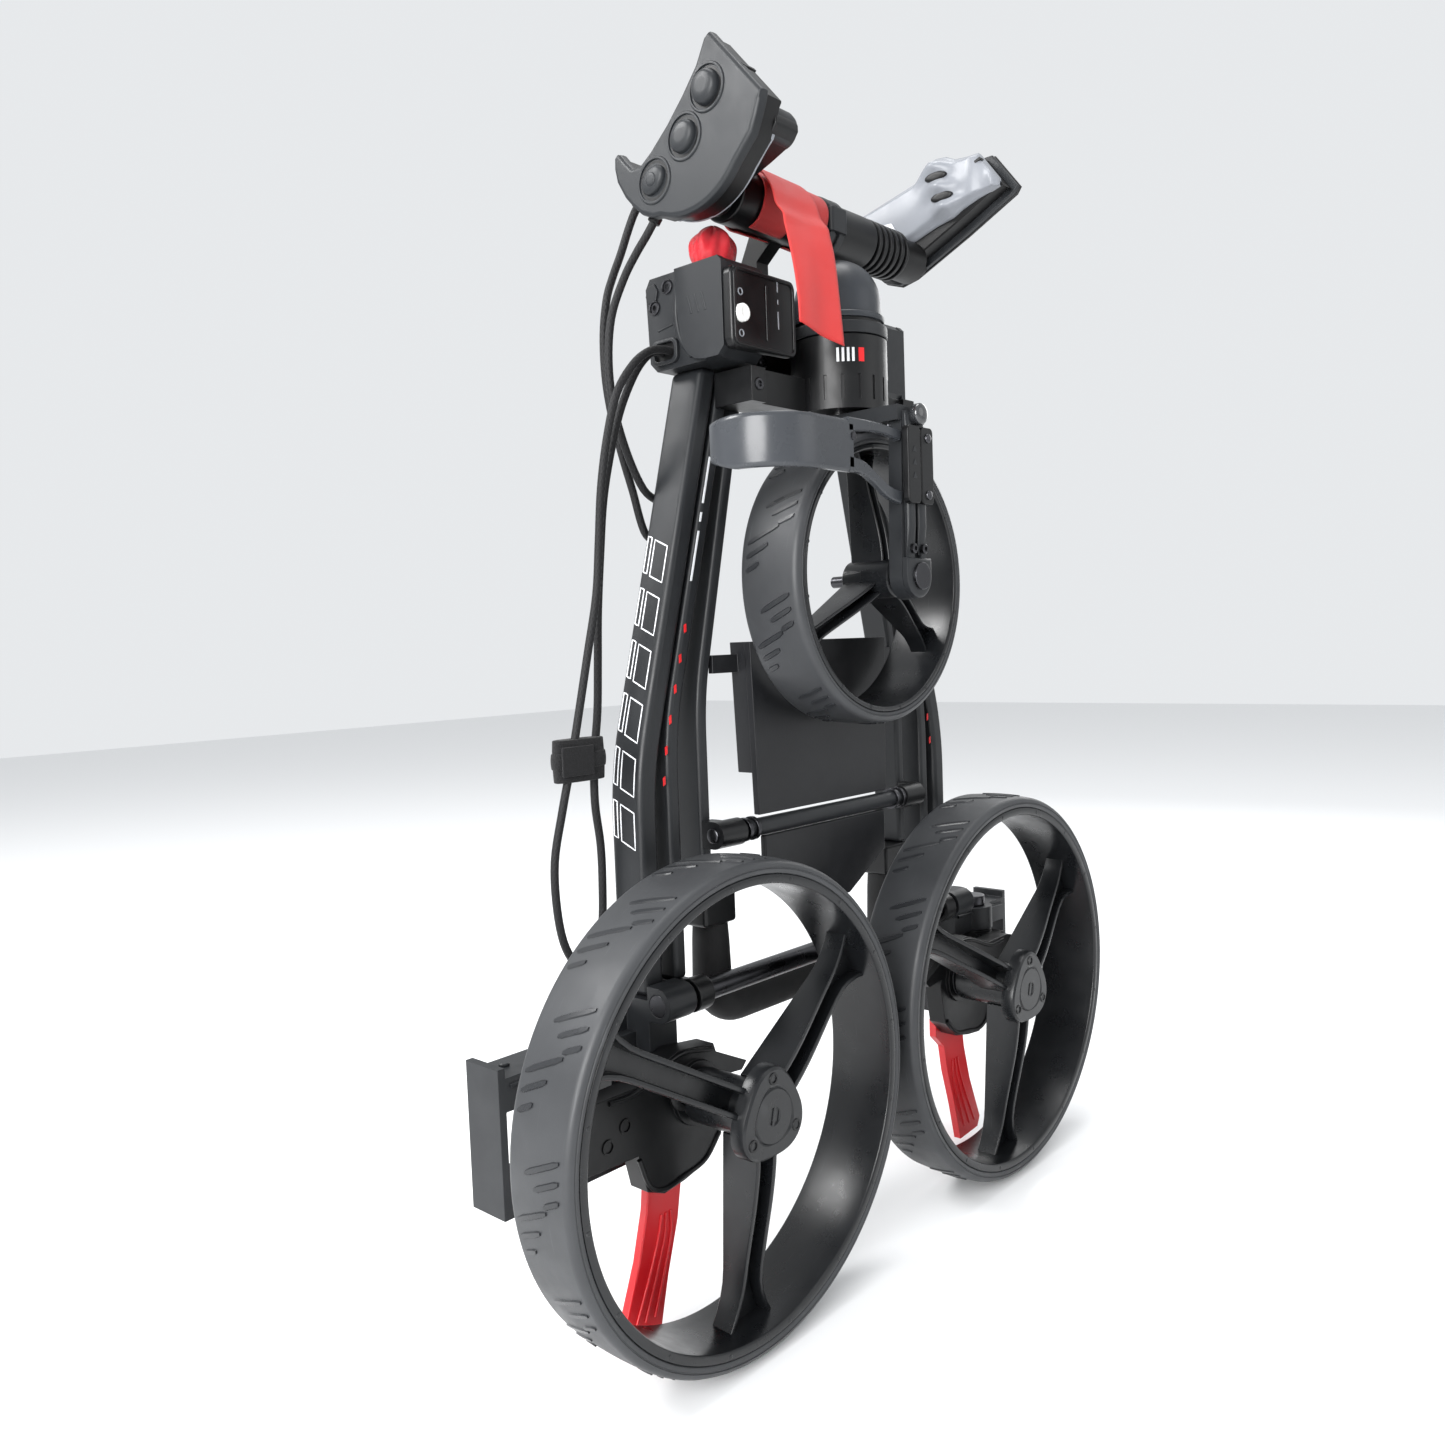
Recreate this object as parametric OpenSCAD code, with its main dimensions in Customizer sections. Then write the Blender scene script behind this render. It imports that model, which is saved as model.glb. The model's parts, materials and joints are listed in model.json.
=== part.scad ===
// Folding push cart for a golf bag, folded flat and hung up by the bar at its top.
// X is across the cart, -Y is its front, Z is up. The origin is the middle of the hanging bar.
// Each "left" part is on the -X side, and most have a mirrored "right" partner.

/* [Rear wheels] */
// Outer radius of a rear tyre
rear_r = 150; // [145:1:152]
// Width of a rear wheel
rear_w = 50; // [46:1:50]
// Distance of each rear wheel's centre from the middle
rear_x = 156; // [155:1:157]
// Height of the rear axles, below the hanging bar
rear_z = -490; // [-492:1:-489]

/* [Front wheel] */
// Outer radius of the front tyre
front_r = 98; // [90:1:98]
// Width of the front wheel
front_w = 48; // [44:1:48]
// Height of the front axle
front_z = -173; // [-174:1:-173]

/* [Beams] */
// Depth of the outer and middle beams, front to back
beam_depth = 28; // [26:1:28]
// Lean of the outer and middle beams above their bend, in degrees
beam_lean = 15.4; // [15.4:0.1:15.8]
// Outer face of the outer beams, below the bend
outer_x = 174; // [174:1:175]
// Outer face of the middle beams, below the bend
middle_x = 149; // [148:1:149]
// Outer face of the inner beams, below the bend
inner_x = 118; // [117:1:118]

/* [Fits] */
// Radial clearance of a pin or shaft that turns in its bore
running = 0.06; // [0.03:0.01:0.09]

/* [Hidden] */
$fn = 64;

// Depth positions shared by many parts
wheel_front = -100;
back_face = 12;
beam_front = -26;
beam_back = beam_front + beam_depth;

// Hinge of the front arm, at the foot of the cart
foot_y = -38;
foot_z = -432;
foot_r = 7;
lug_r = 11;
// Hinge of the handle, inside the top blocks
handle_y = -12;
handle_z = -10;
handle_pin_r = 5;
// Swivel of the front fork
swivel_y = -58;
spindle_r = 8;
// Hinges of the rear wheel arms
arm_x = 240;
arm_y = -10;
arm_pin_r = 6;
// Axle sizes
rear_axle_r = 5;
front_axle_r = 4;
// Hinge of the two bag wings, along the barrel
wing_y = -40;
wing_z = 72;
barrel_r = 18;
// Pivot of the red levers
lever_x = 171;
lever_z = -533;

steel = "silver";
black = "#26282b";
charcoal = "#3a3d41";
grey = "#63676c";
red = "#d3202a";

// Draws a right-hand shape, and its mirror image on the left
module right_too() {
    children();
    mirror([1, 0, 0]) children();
}
// Draws a right-hand shape on the left only
module on_left() mirror([1, 0, 0]) children();
module bar_x(x0, x1, y, z, r) translate([x0, y, z]) rotate([0, 90, 0]) cylinder(h = x1 - x0, r = r);
module bar_y(x, y0, y1, z, r) translate([x, y0, z]) rotate([-90, 0, 0]) cylinder(h = y1 - y0, r = r);
module bar_z(x, y, z0, z1, r) translate([x, y, z0]) cylinder(h = z1 - z0, r = r);
module block(low, high) translate(low) cube(high - low);
// An outline drawn in X and Z, given depth from y0 to y1
module plate_y(y0, y1) translate([0, y1, 0]) rotate([90, 0, 0]) linear_extrude(y1 - y0) children();
// An outline drawn in Y and Z, given width from x0 to x1
module plate_x(x0, x1) translate([x0, 0, 0]) rotate([90, 0, 90]) linear_extrude(x1 - x0) children();

function arc(cx, cy, r, a0, a1, steps = 8) =
    [for (i = [0:steps]) let (a = a0 + (a1 - a0) * i / steps) [cx + r * cos(a), cy + r * sin(a)]];
function leaning_x(x, bend_z, lean, z) = x - (z - bend_z) * tan(lean);

// ---- Beams: a straight leg, an easy bend, and a straight part that leans inward ----

bend_r = 220;
module beam(x_out, thick, bend_z, lean, z_low, z_high, y0, y1) {
    tangent = bend_r * tan(lean / 2);
    centre = [x_out - bend_r, bend_z - tangent];
    inner_shift = thick / cos(lean);
    plate_y(y0, y1) polygon(concat(
        [[x_out, z_low]],
        arc(centre[0], centre[1], bend_r, 0, lean),
        [[leaning_x(x_out, bend_z, lean, z_high), z_high],
         [leaning_x(x_out, bend_z, lean, z_high) - inner_shift, z_high]],
        arc(centre[0], centre[1], bend_r - thick, lean, 0),
        [[x_out - thick, z_low]]));
}
outer_top = -35;
outer_foot = -430;
module outer_beam() color(charcoal)
    beam(outer_x, 15, -290, beam_lean, outer_foot, outer_top, beam_front, beam_back);
module outer_beam_left() on_left() outer_beam();
module outer_beam_right() outer_beam();

middle_top = -38;
middle_foot = -425;
module middle_beam() color(charcoal)
    beam(middle_x, 10.5, -265, beam_lean, middle_foot, middle_top, beam_front, beam_back);
module middle_beam_left() on_left() middle_beam();
module middle_beam_right() middle_beam();

inner_lean = 13.1;
inner_top = -34;
inner_foot = -375;
inner_front = -24;
module inner_beam() color(charcoal)
    beam(inner_x, 9.5, -246, inner_lean, inner_foot, inner_top, inner_front, 0);
module inner_beam_left() on_left() inner_beam();
module inner_beam_right() inner_beam();

// ---- Top of the cart: two side blocks, the frame between them and the hanging bar ----

block_in = 78;
block_out = 118;
block_low = -35;
block_high = 25;
block_front_left = -58;
block_front_right = -34;
bulge_back = -21;
cord_holes = [[-9, -24], [-2, -24]];
cord_hole_r = 3.2;
module side_block(front, foot_round) difference() {
    union() {
        plate_x(block_in, block_out - 4) polygon([
            [front, block_high - 4], [front + 4, block_high], [back_face - 4, block_high],
            [back_face, block_high - 6], [back_face - 2, block_low + 6], [back_face - 8, block_low],
            [front + 8, block_low], [front, block_low + 8]]);
        // The thicker outer cover at the front, narrower at its foot
        plate_x(block_out - 5, block_out) polygon(concat(
            [[front, block_high - 3], [front + 3, block_high], [bulge_back + 3, block_high]],
            [[bulge_back + 2, 0]],
            arc(bulge_back - foot_round, block_low + foot_round, foot_round, 0, -90, 4),
            [[front + 5, block_low], [front, block_low + 5]]));
    }
    // Holes that the strap cord comes out of and goes back into
    for (p = cord_holes) bar_x(block_out - 20, block_out + 1, p[0], p[1], cord_hole_r);
    // Seat of the handle's hinge pin
    bar_x(block_in - 1, block_in + 8, handle_y, handle_z, handle_pin_r);
}
module side_block_left() color(black) on_left() side_block(block_front_left, 20);
module side_block_right() color(black) side_block(block_front_right, 6);

hub_half = 50;
hub_wall_front = -23;
module hub_frame() color(black) difference() {
    union() {
        block([-hub_half, hub_wall_front, -30], [hub_half, hub_wall_front + 7, 24]);
        right_too() block([hub_half - 6, hub_wall_front, -30], [hub_half, back_face, 24]);
        // Top bridge that ties both side blocks together over the handle's barrels
        right_too() difference() {
            block([hub_half - 1, hub_wall_front, 12], [block_in, handle_y - 2, 24]);
            bar_x(hub_half - 2, block_in + 1, handle_y, handle_z, 24);
        }
        // Two posts that carry the barrel
        right_too() plate_x(30, 42) polygon([
            [hub_wall_front, 24], [hub_wall_front, 44], [wing_y - 10, wing_z - 6], [wing_y, wing_z],
            [wing_y + 16, wing_z + 4], [-8, 44], [-8, 24]]);
    }
    bar_x(-43, 43, wing_y, wing_z, barrel_r);
    right_too() bar_x(hub_half - 7, hub_half + 1, handle_y, handle_z, handle_pin_r);
    bar_x(-hub_half - 1, hub_half + 1, 0, 0, 6);
}
module hanging_bar() color(steel) bar_x(-hub_half, hub_half, 0, 0, 6);
module handle_pins() color(steel) right_too()
    bar_x(hub_half - 6, block_in + 8, handle_y, handle_z, handle_pin_r);

latch_front = -66;
module latch_plate() color(black) plate_y(latch_front, block_front_left) polygon(concat(
    arc(-112, -26, 6, 180, 270, 4), arc(-60, -26, 4, 270, 360, 4),
    arc(-60, 14, 4, 0, 90, 4), arc(-112, 12, 6, 90, 180, 4)));
module latch_bolt() color("white") union() {
    bar_y(-110, latch_front - 3, latch_front, -11, 5.5);
    bar_y(-110, latch_front - 4.5, latch_front - 3, -11, 3);
}

module block_screws() color(steel) right_too()
    for (p = [[-8, 17], [4, 6]]) bar_x(block_out - 4, block_out - 1.5, p[0], p[1], 3.5);

// ---- Barrel that carries the two bag wings, with fins on its right half ----

barrel_end = 94;
stub_r = 7;
module bracket_barrel() color(black) difference() {
    union() {
        bar_x(-barrel_end, barrel_end, wing_y, wing_z, barrel_r);
        // Stub shafts that the wings turn on
        right_too() bar_x(barrel_end - 1, barrel_end + 40, wing_y, wing_z, stub_r);
    }
    for (x = [50:10:80]) difference() {
        bar_x(x, x + 5, wing_y, wing_z, barrel_r + 1);
        bar_x(x - 1, x + 6, wing_y, wing_z, barrel_r - 2.5);
    }
}

// ---- Bag wings: crescent plates with tips up, carried on the barrel's stub shafts ----

wing_in = 118;
wing_out = 139;
wing_tilt_left = 31;
// The left wing's outline, along its length (towards the tip) and its height, before scaling
wing_outline = concat(
    [[-12, -4], [-2, -28]],
    [for (a = [215:15:290]) [50 + 56 * cos(a), 4 + 57 * sin(a)]],
    [[104, -34], [108, -30], [98, 32], [92, 33], [78, 25], [60, 20], [40, 14], [20, 11]],
    [[4, 14], [2, 34], [-6, 36], [-14, 22]]);
wing_scale = 0.93;
left_outline = [for (p = wing_outline) [-wing_scale * p[0], wing_scale * p[1]]];
// The right wing's outline in depth and height: a straight belly and a humped, taller back
right_outline = [
    [27, 6], [19, -8], [7, -19], [-7, -24], [-21, -21], [-67, 0], [-107, 20], [-110, 24], [-90, 51],
    [-81, 51], [-69, 52], [-61, 56], [-52, 57], [-44, 53], [-35, 44], [-20, 41], [15, 33], [25, 26]];
// Place of each outline's origin, behind and above the hinge
wing_shift = [25, 14];
left_pads = [[-72, 5], [-44, -4], [-12, -6]];
right_pads = [[-73, 26], [-43, 12], [-11, 4]];
module wing_place(tilt) translate([0, wing_y, wing_z]) rotate([-tilt, 0, 0])
    translate([0, wing_shift[0], wing_shift[1]]) children();
module wing_pockets() for (p = [[-65, 25], [-53, 40]]) bar_x(wing_in - 1, wing_in + 7, p[0], p[1], 6);
module wing(tilt, outline, with_arm) difference() {
    union() {
        wing_place(tilt) difference() {
            plate_x(wing_in, wing_out) polygon(outline);
            if (!with_arm) wing_pockets();
        }
        // Sleeve on the stub shaft, and the boss round it inside the plate
        bar_x(barrel_end + 1, wing_in + 2, wing_y, wing_z, 15);
        bar_x(wing_in, wing_out - 3, wing_y, wing_z, 11);
        // Arm that holds the knob near the tip
        if (with_arm) wing_place(tilt) union() {
            plate_x(barrel_end + 4, wing_in + 1) polygon([
                [-14, -22], [-20, 0], [-50, -4], [-84, -16], [-92, -26], [-86, -38], [-44, -30]]);
            bar_x(barrel_end, wing_in + 1, -82, -27, 11);
        }
    }
    bar_x(barrel_end - 1, barrel_end + 40.5, wing_y, wing_z, stub_r + running);
}
module wing_left() color(charcoal) on_left() wing(wing_tilt_left, left_outline, true);
module wing_right() color(charcoal) wing(0, right_outline, false);
module wing_pads(tilt, places) wing_place(tilt) for (p = places) union() {
    bar_x(wing_out, wing_out + 5, p[0], p[1], 12);
    bar_x(wing_out + 5, wing_out + 7, p[0], p[1], 9);
}
module wing_pads_left() color(black) on_left() wing_pads(wing_tilt_left, left_pads);
module wing_pads_right() color(black) wing_pads(0, right_pads);

// ---- Foot of the cart: brackets, the tube between them and the wheel arms' pins ----

bracket_top = -451;
bracket_low = -532;
clevis_top = -470.5;
clevis_low = -515.5;
accessory_hole_r = 3;
accessory_hole_x = 214;
accessory_hole_y = -3;
cheek_in = 279;
cheek_t = 5;
module axle_bracket() difference() {
    union() {
        // Socket that the outer beam stands on, with a lug for the hinge tube
        block([154, -30, -470], [178, 5, outer_foot]);
        plate_x(154, 178) polygon(concat(
            [[-29, foot_z - lug_r], [-29, foot_z + lug_r]], arc(foot_y, foot_z, lug_r, 90, 270, 8)));
        // Gusset between the socket and the top plate
        plate_y(-10, 4) polygon([[176, outer_foot - 2], [176, bracket_top - 1], [206, bracket_top - 1]]);
        // Web and the two plates of the clevis
        block([176, -18, bracket_low], [200, back_face, bracket_top]);
        for (z = [[clevis_top, bracket_top], [bracket_low, clevis_low]]) {
            block([198, -18, z[0]], [284, back_face, z[1]]);
            bar_z(arm_x, arm_y, z[0], z[1], 17);
        }
        block([cheek_in, -18, bracket_low], [cheek_in + cheek_t, back_face, bracket_top + 6]);
    }
    bar_x(150, 180, foot_y, foot_z, foot_r);
    bar_z(arm_x, arm_y, bracket_low - 1, bracket_top + 1, arm_pin_r);
    bar_z(accessory_hole_x, accessory_hole_y, clevis_top - 1, bracket_top + 1, accessory_hole_r);
}
module axle_bracket_left() color(charcoal) on_left() axle_bracket();
module axle_bracket_right() color(charcoal) axle_bracket();
module hinge_tube() color(steel) bar_x(-178, 178, foot_y, foot_z, foot_r);
module arm_pin() union() {
    bar_z(arm_x, arm_y, bracket_low, bracket_top, arm_pin_r);
    bar_z(arm_x, arm_y, bracket_top, bracket_top + 9, 11);
}
module arm_pin_left() color(black) on_left() arm_pin();
module arm_pin_right() color(black) arm_pin();

// ---- Front arm ----

module arm_knuckles() color(black) right_too() difference() {
    plate_x(middle_x - 12, middle_x + 1.5) polygon(concat(
        [[beam_back, foot_z - lug_r], [beam_back, middle_foot], [beam_front, middle_foot],
         [foot_y, foot_z + lug_r]],
        arc(foot_y, foot_z, lug_r, 90, 270, 8)));
    bar_x(middle_x - 20, middle_x + 20, foot_y, foot_z, foot_r + running);
}
bridge_low = -60;
bridge_half = leaning_x(middle_x, -265, beam_lean, bridge_low);
module arm_bridge() color(black) difference() {
    union() {
        block([-bridge_half, -54, bridge_low], [bridge_half, beam_front, middle_top]);
        right_too() block([bridge_half - 14, -58, bridge_low], [bridge_half, -52, middle_top]);
    }
    bar_z(0, swivel_y, bridge_low - 1, middle_top + 1, 33);
}
drum_top = -12;
module swivel_drum() color(charcoal) difference() {
    union() {
        bar_z(0, swivel_y, bridge_low, drum_top, 33);
        bar_z(0, swivel_y, drum_top, drum_top + 12, 30);
    }
    for (i = [0:17]) translate([0, swivel_y, bridge_low + 6]) rotate([0, 0, i * 20])
        translate([32, -1, 0]) cube([4, 2, 16]);
    bar_z(0, swivel_y, bridge_low - 1, drum_top + 4, spindle_r + running);
}
cap_top = 44;
module drum_cap() color(grey) translate([0, swivel_y, 0]) rotate_extrude() polygon(concat(
    [[0, 0], [32, 0], [32, 4]], [for (a = [0:9:90]) [30 * cos(a), 14 + (cap_top - 14) * sin(a)]]));

// ---- Front fork, its clamp, the bag's lower cradle hoop and the front wheel ----

strut_back = -105;
strut_front = -118;
module fork() color(charcoal) difference() {
    union() {
        // One-sided strut with a rounded foot
        plate_y(strut_front + 3, strut_back) polygon(concat(
            arc(0, front_z, 15, 180, 360, 8), [[11, -66], [-11, -66]]));
        for (x = [-10, 4]) block([x, strut_front, front_z], [x + 6, strut_front + 4, -66]);
        // Crown over the top of the wheel
        block([-16, strut_front + 3, -72], [16, -44, -62]);
        bar_z(0, swivel_y, -72, -62, 16);
    }
    bar_y(0, strut_front - 1, strut_back + 1, front_z, front_axle_r);
}
module swivel_spindle() color(steel) bar_z(0, swivel_y, -62, drum_top, spindle_r);
module front_axle() color(steel) union() {
    bar_y(0, strut_front, -48, front_z, front_axle_r);
    bar_y(0, strut_front - 4, strut_front, front_z, 9);
}
module fork_clamp() color(black) union() {
    plate_y(strut_front - 5, strut_front) polygon([
        [-16, -126], [16, -126], [16, -82], [10, -76], [-10, -76], [-16, -82]]);
    for (x = [-9, 9], z = [-90, -118]) bar_y(x, strut_front - 7, strut_front - 5, z, 3);
}
module clamp_knob() color(grey) bar_y(0, strut_front - 8, strut_front, -68, 7);
// The hoop runs from the clamp to the left, round the bag's side
hoop_t = 5;
hoop_low = -110;
hoop_high = -78;
hoop_front = -116;
hoop_r = 38;
module cradle_hoop() color(grey) union() {
    difference() {
        plate_y(hoop_front, hoop_front + hoop_t) polygon([
            [-100, hoop_low], [-100, hoop_high], [-16, -78], [-16, -126], [-30, -122], [-80, hoop_low]]);
        plate_y(hoop_front - 1, hoop_front + hoop_t + 1) polygon([[-84, -98], [-24, -88], [-24, -112]]);
    }
    translate([0, 0, hoop_low]) linear_extrude(hoop_high - hoop_low) polygon(concat(
        [[-100, hoop_front]], arc(-102, hoop_front + hoop_r, hoop_r, 270, 150, 12),
        arc(-102, hoop_front + hoop_r, hoop_r - hoop_t, 150, 270, 12), [[-100, hoop_front + hoop_t]]));
}

// ---- Wheels, drawn about their own axis and then stood up to face the front ----

module wheel_place(x, z, front) translate([x, front, z]) rotate([-90, 0, 0]) children();
module ring_profile(r_in, r_out, w, edge) polygon(concat(
    [[r_in, 0], [r_out - edge, 0]], arc(r_out - edge, edge, edge, 270, 360, 4),
    arc(r_out - edge, w - edge, edge, 0, 90, 4), [[r_in, w]]));
module tyre(r, w, wall, edge) rotate_extrude($fn = 96) ring_profile(r - wall, r, w, edge);
// Spokes are pairs of thin ribs joined by a web, deepest at the hub
module spokes(first, r_hub, r_rim, hub_front, rib_gap, rib_t) for (i = [0:2])
    rotate([0, 0, first + i * 120]) {
        for (s = [-1, 1]) translate([0, s * rib_gap / 2 + rib_t / 2, 0]) rotate([90, 0, 0])
            linear_extrude(rib_t) polygon([
                [r_hub, hub_front], [r_hub + 16, hub_front + 2], [r_rim, 16], [r_rim, 30],
                [r_hub, hub_front + 26]]);
        translate([0, rib_gap / 2, 0]) rotate([90, 0, 0]) linear_extrude(rib_gap) polygon([
            [r_hub, hub_front + 16], [r_rim, 24], [r_rim, 29], [r_hub, hub_front + 21]]);
    }
rear_wall = 9;
rear_barrel = 6;
module rear_rim() difference() {
    union() {
        rotate_extrude($fn = 96)
            ring_profile(rear_r - rear_wall - rear_barrel, rear_r - rear_wall, rear_w, 1);
        spokes(90, 14, rear_r - rear_wall - rear_barrel + 2, -4, 16, 5);
        translate([0, 0, -8]) cylinder(h = rear_w - 1.5 + 8, r = 17);
        // Three-lobed cap over the hub
        translate([0, 0, -10]) linear_extrude(10) polygon([for (i = [0:5])
            let (a = 60 * i, r = i % 2 == 0 ? 29 : 25) each
            [[r * cos(a - 12), r * sin(a - 12)], [r * cos(a + 12), r * sin(a + 12)]]]);
    }
    translate([0, 0, -2]) cylinder(h = rear_w + 4, r = rear_axle_r + running);
}
module rear_tyre_left() color(black) wheel_place(-rear_x, rear_z, wheel_front)
    tyre(rear_r, rear_w, rear_wall, 5);
module rear_tyre_right() color(black) wheel_place(rear_x, rear_z, wheel_front)
    tyre(rear_r, rear_w, rear_wall, 5);
module rear_rim_left() color(charcoal) wheel_place(-rear_x, rear_z, wheel_front) rear_rim();
module rear_rim_right() color(charcoal) wheel_place(rear_x, rear_z, wheel_front) rear_rim();

front_wall = 8;
front_barrel = 4;
front_face = -93;
front_hub = 38;
module front_tyre() color(black) wheel_place(0, front_z, front_face) tyre(front_r, front_w, front_wall, 5);
module front_rim() color(charcoal) wheel_place(0, front_z, front_face) difference() {
    union() {
        rotate_extrude($fn = 96)
            ring_profile(front_r - front_wall - front_barrel, front_r - front_wall, front_w, 1);
        spokes(-90, 10, front_r - front_wall - front_barrel + 1.5, 0, 9, 3.5);
        translate([0, 0, -9]) cylinder(h = front_hub, r = 13);
    }
    translate([0, 0, -10]) cylinder(h = front_w + 12, r = front_axle_r + running);
}

// ---- Rear wheel arms, axles and red levers ----

arm_front = -46;
arm_back = -31;
wheel_back = wheel_front + rear_w;
module wheel_arm() difference() {
    union() {
        // Cover plate with a wavy lower edge
        plate_y(arm_front, arm_back) polygon([
            [128, -492], [138, -464], [170, -460], [206, -472], [236, -472], [252, -476], [252, -512],
            [206, -514], [200, -538], [186, -544], [168, -542], [150, -538], [134, -524]]);
        // Three-cornered rib towards the middle of the cart
        plate_y(arm_front, arm_front + 6) polygon([[107, -484], [112, -489], [140, -486], [140, -468]]);
        // Boss that holds the axle
        bar_y(rear_x, wheel_back + 1, arm_back + 3, rear_z, 20);
        // Knuckle on the hinge pin
        bar_z(arm_x, arm_y, -515, -471, 16);
        block([arm_x - 14, arm_back - 2, -512], [arm_x + 14, arm_y, -474]);
    }
    bar_z(arm_x, arm_y, -520, -465, arm_pin_r + running);
    bar_y(rear_x, wheel_back, arm_back + 4, rear_z, rear_axle_r);
}
module wheel_arm_left() color(black) on_left() wheel_arm();
module wheel_arm_right() color(black) wheel_arm();
lever_pin_r = 4;
module rear_axle() union() {
    bar_y(rear_x, wheel_front, arm_back + 3, rear_z, rear_axle_r);
    bar_y(lever_x, arm_back, arm_back + 9, lever_z, lever_pin_r);
    bar_y(lever_x, arm_back + 9, arm_back + 11, lever_z, 6);
}
module rear_axle_left() color(steel) on_left() rear_axle();
module rear_axle_right() color(steel) rear_axle();
module lever() difference() {
    plate_y(arm_back + 0.6, arm_back + 7) polygon(concat(
        [[144, -541], [144, -527], [152, -520]], arc(lever_x, lever_z, 13, 100, 20, 4),
        [[187, -560], [195, -590], [210, -628]], [[206, -636], [178, -638]],
        [[170, -606], [160, -574], [156, -552]]));
    bar_y(lever_x, arm_back, arm_back + 8, lever_z, lever_pin_r + running);
}
module lever_left() color(red) on_left() lever();
module lever_right() color(red) lever();

// ---- Handle: barrels, collars, the U-shaped grip, the rod and the score-card console ----

module handle_barrels() color(black) right_too() difference() {
    union() {
        bar_x(hub_half + 2, block_in - 3, handle_y, handle_z, 11);
        block([hub_half + 4, -22, inner_top], [block_in - 4, -2, handle_z]);
    }
    bar_x(hub_half, block_in, handle_y, handle_z, handle_pin_r + running);
}
grip_r = 14;
grip_x = 101;
grip_top = -398;
grip_bend = 22;
grip_low = -456;
module grip_collars() color(black) right_too()
    block([grip_x - grip_r + 1, inner_front - 1, grip_top], [inner_x + 1, 1, inner_foot]);
module handle_grip() color(black) translate([0, handle_y, 0]) union() {
    right_too() {
        bar_z(grip_x, 0, grip_low + grip_bend, grip_top, grip_r);
        translate([grip_x - grip_bend, 0, grip_low + grip_bend]) rotate([90, 0, 0])
            rotate_extrude(angle = -90) translate([grip_bend, 0]) circle(r = grip_r);
    }
    bar_x(-grip_x + grip_bend, grip_x - grip_bend, 0, grip_low, grip_r);
}
rod_y = -34;
rod_z = -336;
module cross_rod() color(steel) bar_x(-106, 106, rod_y, rod_z, 6);
module rod_bushes() color(black) right_too() difference() {
    union() {
        bar_x(94, inner_x, rod_y, rod_z, 9);
        block([inner_x - 10, rod_y, rod_z - 9], [inner_x, inner_front, rod_z + 9]);
    }
    bar_x(90, 106, rod_y, rod_z, 6);
}
panel_half = 78;
panel_top = -212;
module console_panel() color(charcoal) difference() {
    union() {
        plate_y(-36, -31) polygon([[-panel_half, panel_top], [panel_half, panel_top],
            [panel_half - 4, rod_z + 8], [4 - panel_half, rod_z + 8]]);
        // Side flanges that meet the inner beams
        right_too() plate_y(-31, -18) polygon([
            [panel_half - 3, panel_top], [panel_half, panel_top], [panel_half - 4, -300],
            [panel_half - 7, -300]]);
        right_too() block([panel_half - 3, -24, -232], [102, -20, -220]);
    }
    bar_x(-120, 120, rod_y, rod_z, 6);
}
module console_bracket() color(black) plate_y(-37, -32) polygon([
    [-70, rod_z - 6.4], [70, rod_z - 6.4], [70, -372], [24, -398], [-24, -398], [-70, -372]]);

// ---- Soft parts: red ribbon, tag and the elastic cords ----

module red_band() color(red) difference() {
    bar_x(-76, -8, wing_y, wing_z, barrel_r + 2.2);
    bar_x(-77, -7, wing_y, wing_z, barrel_r + 0.4);
    // Gap for the post behind the barrel
    block([-43, -60, 40], [-29, 0, 78]);
}
module red_loop() color(red) union() {
    for (x = [-104, -90]) bar_y(x, -46, -20, 39.2, 13.4);
    block([-104, -46, 25.8], [-90, -20, 52.6]);
}
module hang_tag() color(red) plate_x(-92, -46) polygon([
    [-61, 82], [-76, 68], [-88, 40], [-93, 0], [-94, -22], [-92.6, -22], [-91.5, 0],
    [-86.4, 39.5], [-74.8, 67], [-59.8, 80.8]]);

// Routes of the cords: hand-chosen points, in order, from the exit to where the cord goes back in
cord_r = 2.6;
strap_route = [
    [-113, -9, -24], [-122, -9, -24], [-134, -9, -27], [-148, -9, -37], [-162, -8, -56],
    [-171, -7, -84], [-176, -5, -115], [-178, -3, -148], [-181, -2, -180], [-189, -1, -215],
    [-198, -1, -250], [-206, -1, -280], [-214, 0, -310], [-220, 2, -340], [-219, 3, -370],
    [-213, 4, -394], [-201, 5, -409], [-189, 5, -405], [-182, 5, -386], [-181, 4, -360],
    [-182, 3, -335], [-186, 2, -308], [-184, 3, -280], [-178, 5, -252], [-175, 6, -222],
    [-173, 6, -190], [-170, 5, -155], [-167, 3, -120], [-161, 0, -88], [-152, -1, -62],
    [-140, -2, -40], [-129, -2, -28], [-121, -2, -24], [-113, -2, -24]];
wing_route = [
    [-128, 1, 67], [-128, 6, 62], [-130, 10, 52], [-134, 13, 38], [-140, 15, 23], [-146, 15, 8],
    [-149, 16, -14], [-149, 16, -40], [-146, 15, -64], [-139, 14, -90], [-131, 14, -112],
    [-126, 13, -131], [-122, 12, -140], [-114, 12, -143], [-106, 11, -140], [-102, 10, -131],
    [-106, 9, -122], [-114, 8, -118], [-128, 7, -111], [-141, 7, -90], [-151, 7, -62],
    [-154, 7, -34], [-151, 6, -6], [-143, 2, 18], [-136, -3, 34], [-131, -8, 45], [-128, -13, 54]];

function unit(v) = v / norm(v);
function heading(route, i) =
    unit(route[min(i + 1, len(route) - 1)] - route[max(i - 1, 0)]);
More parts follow.
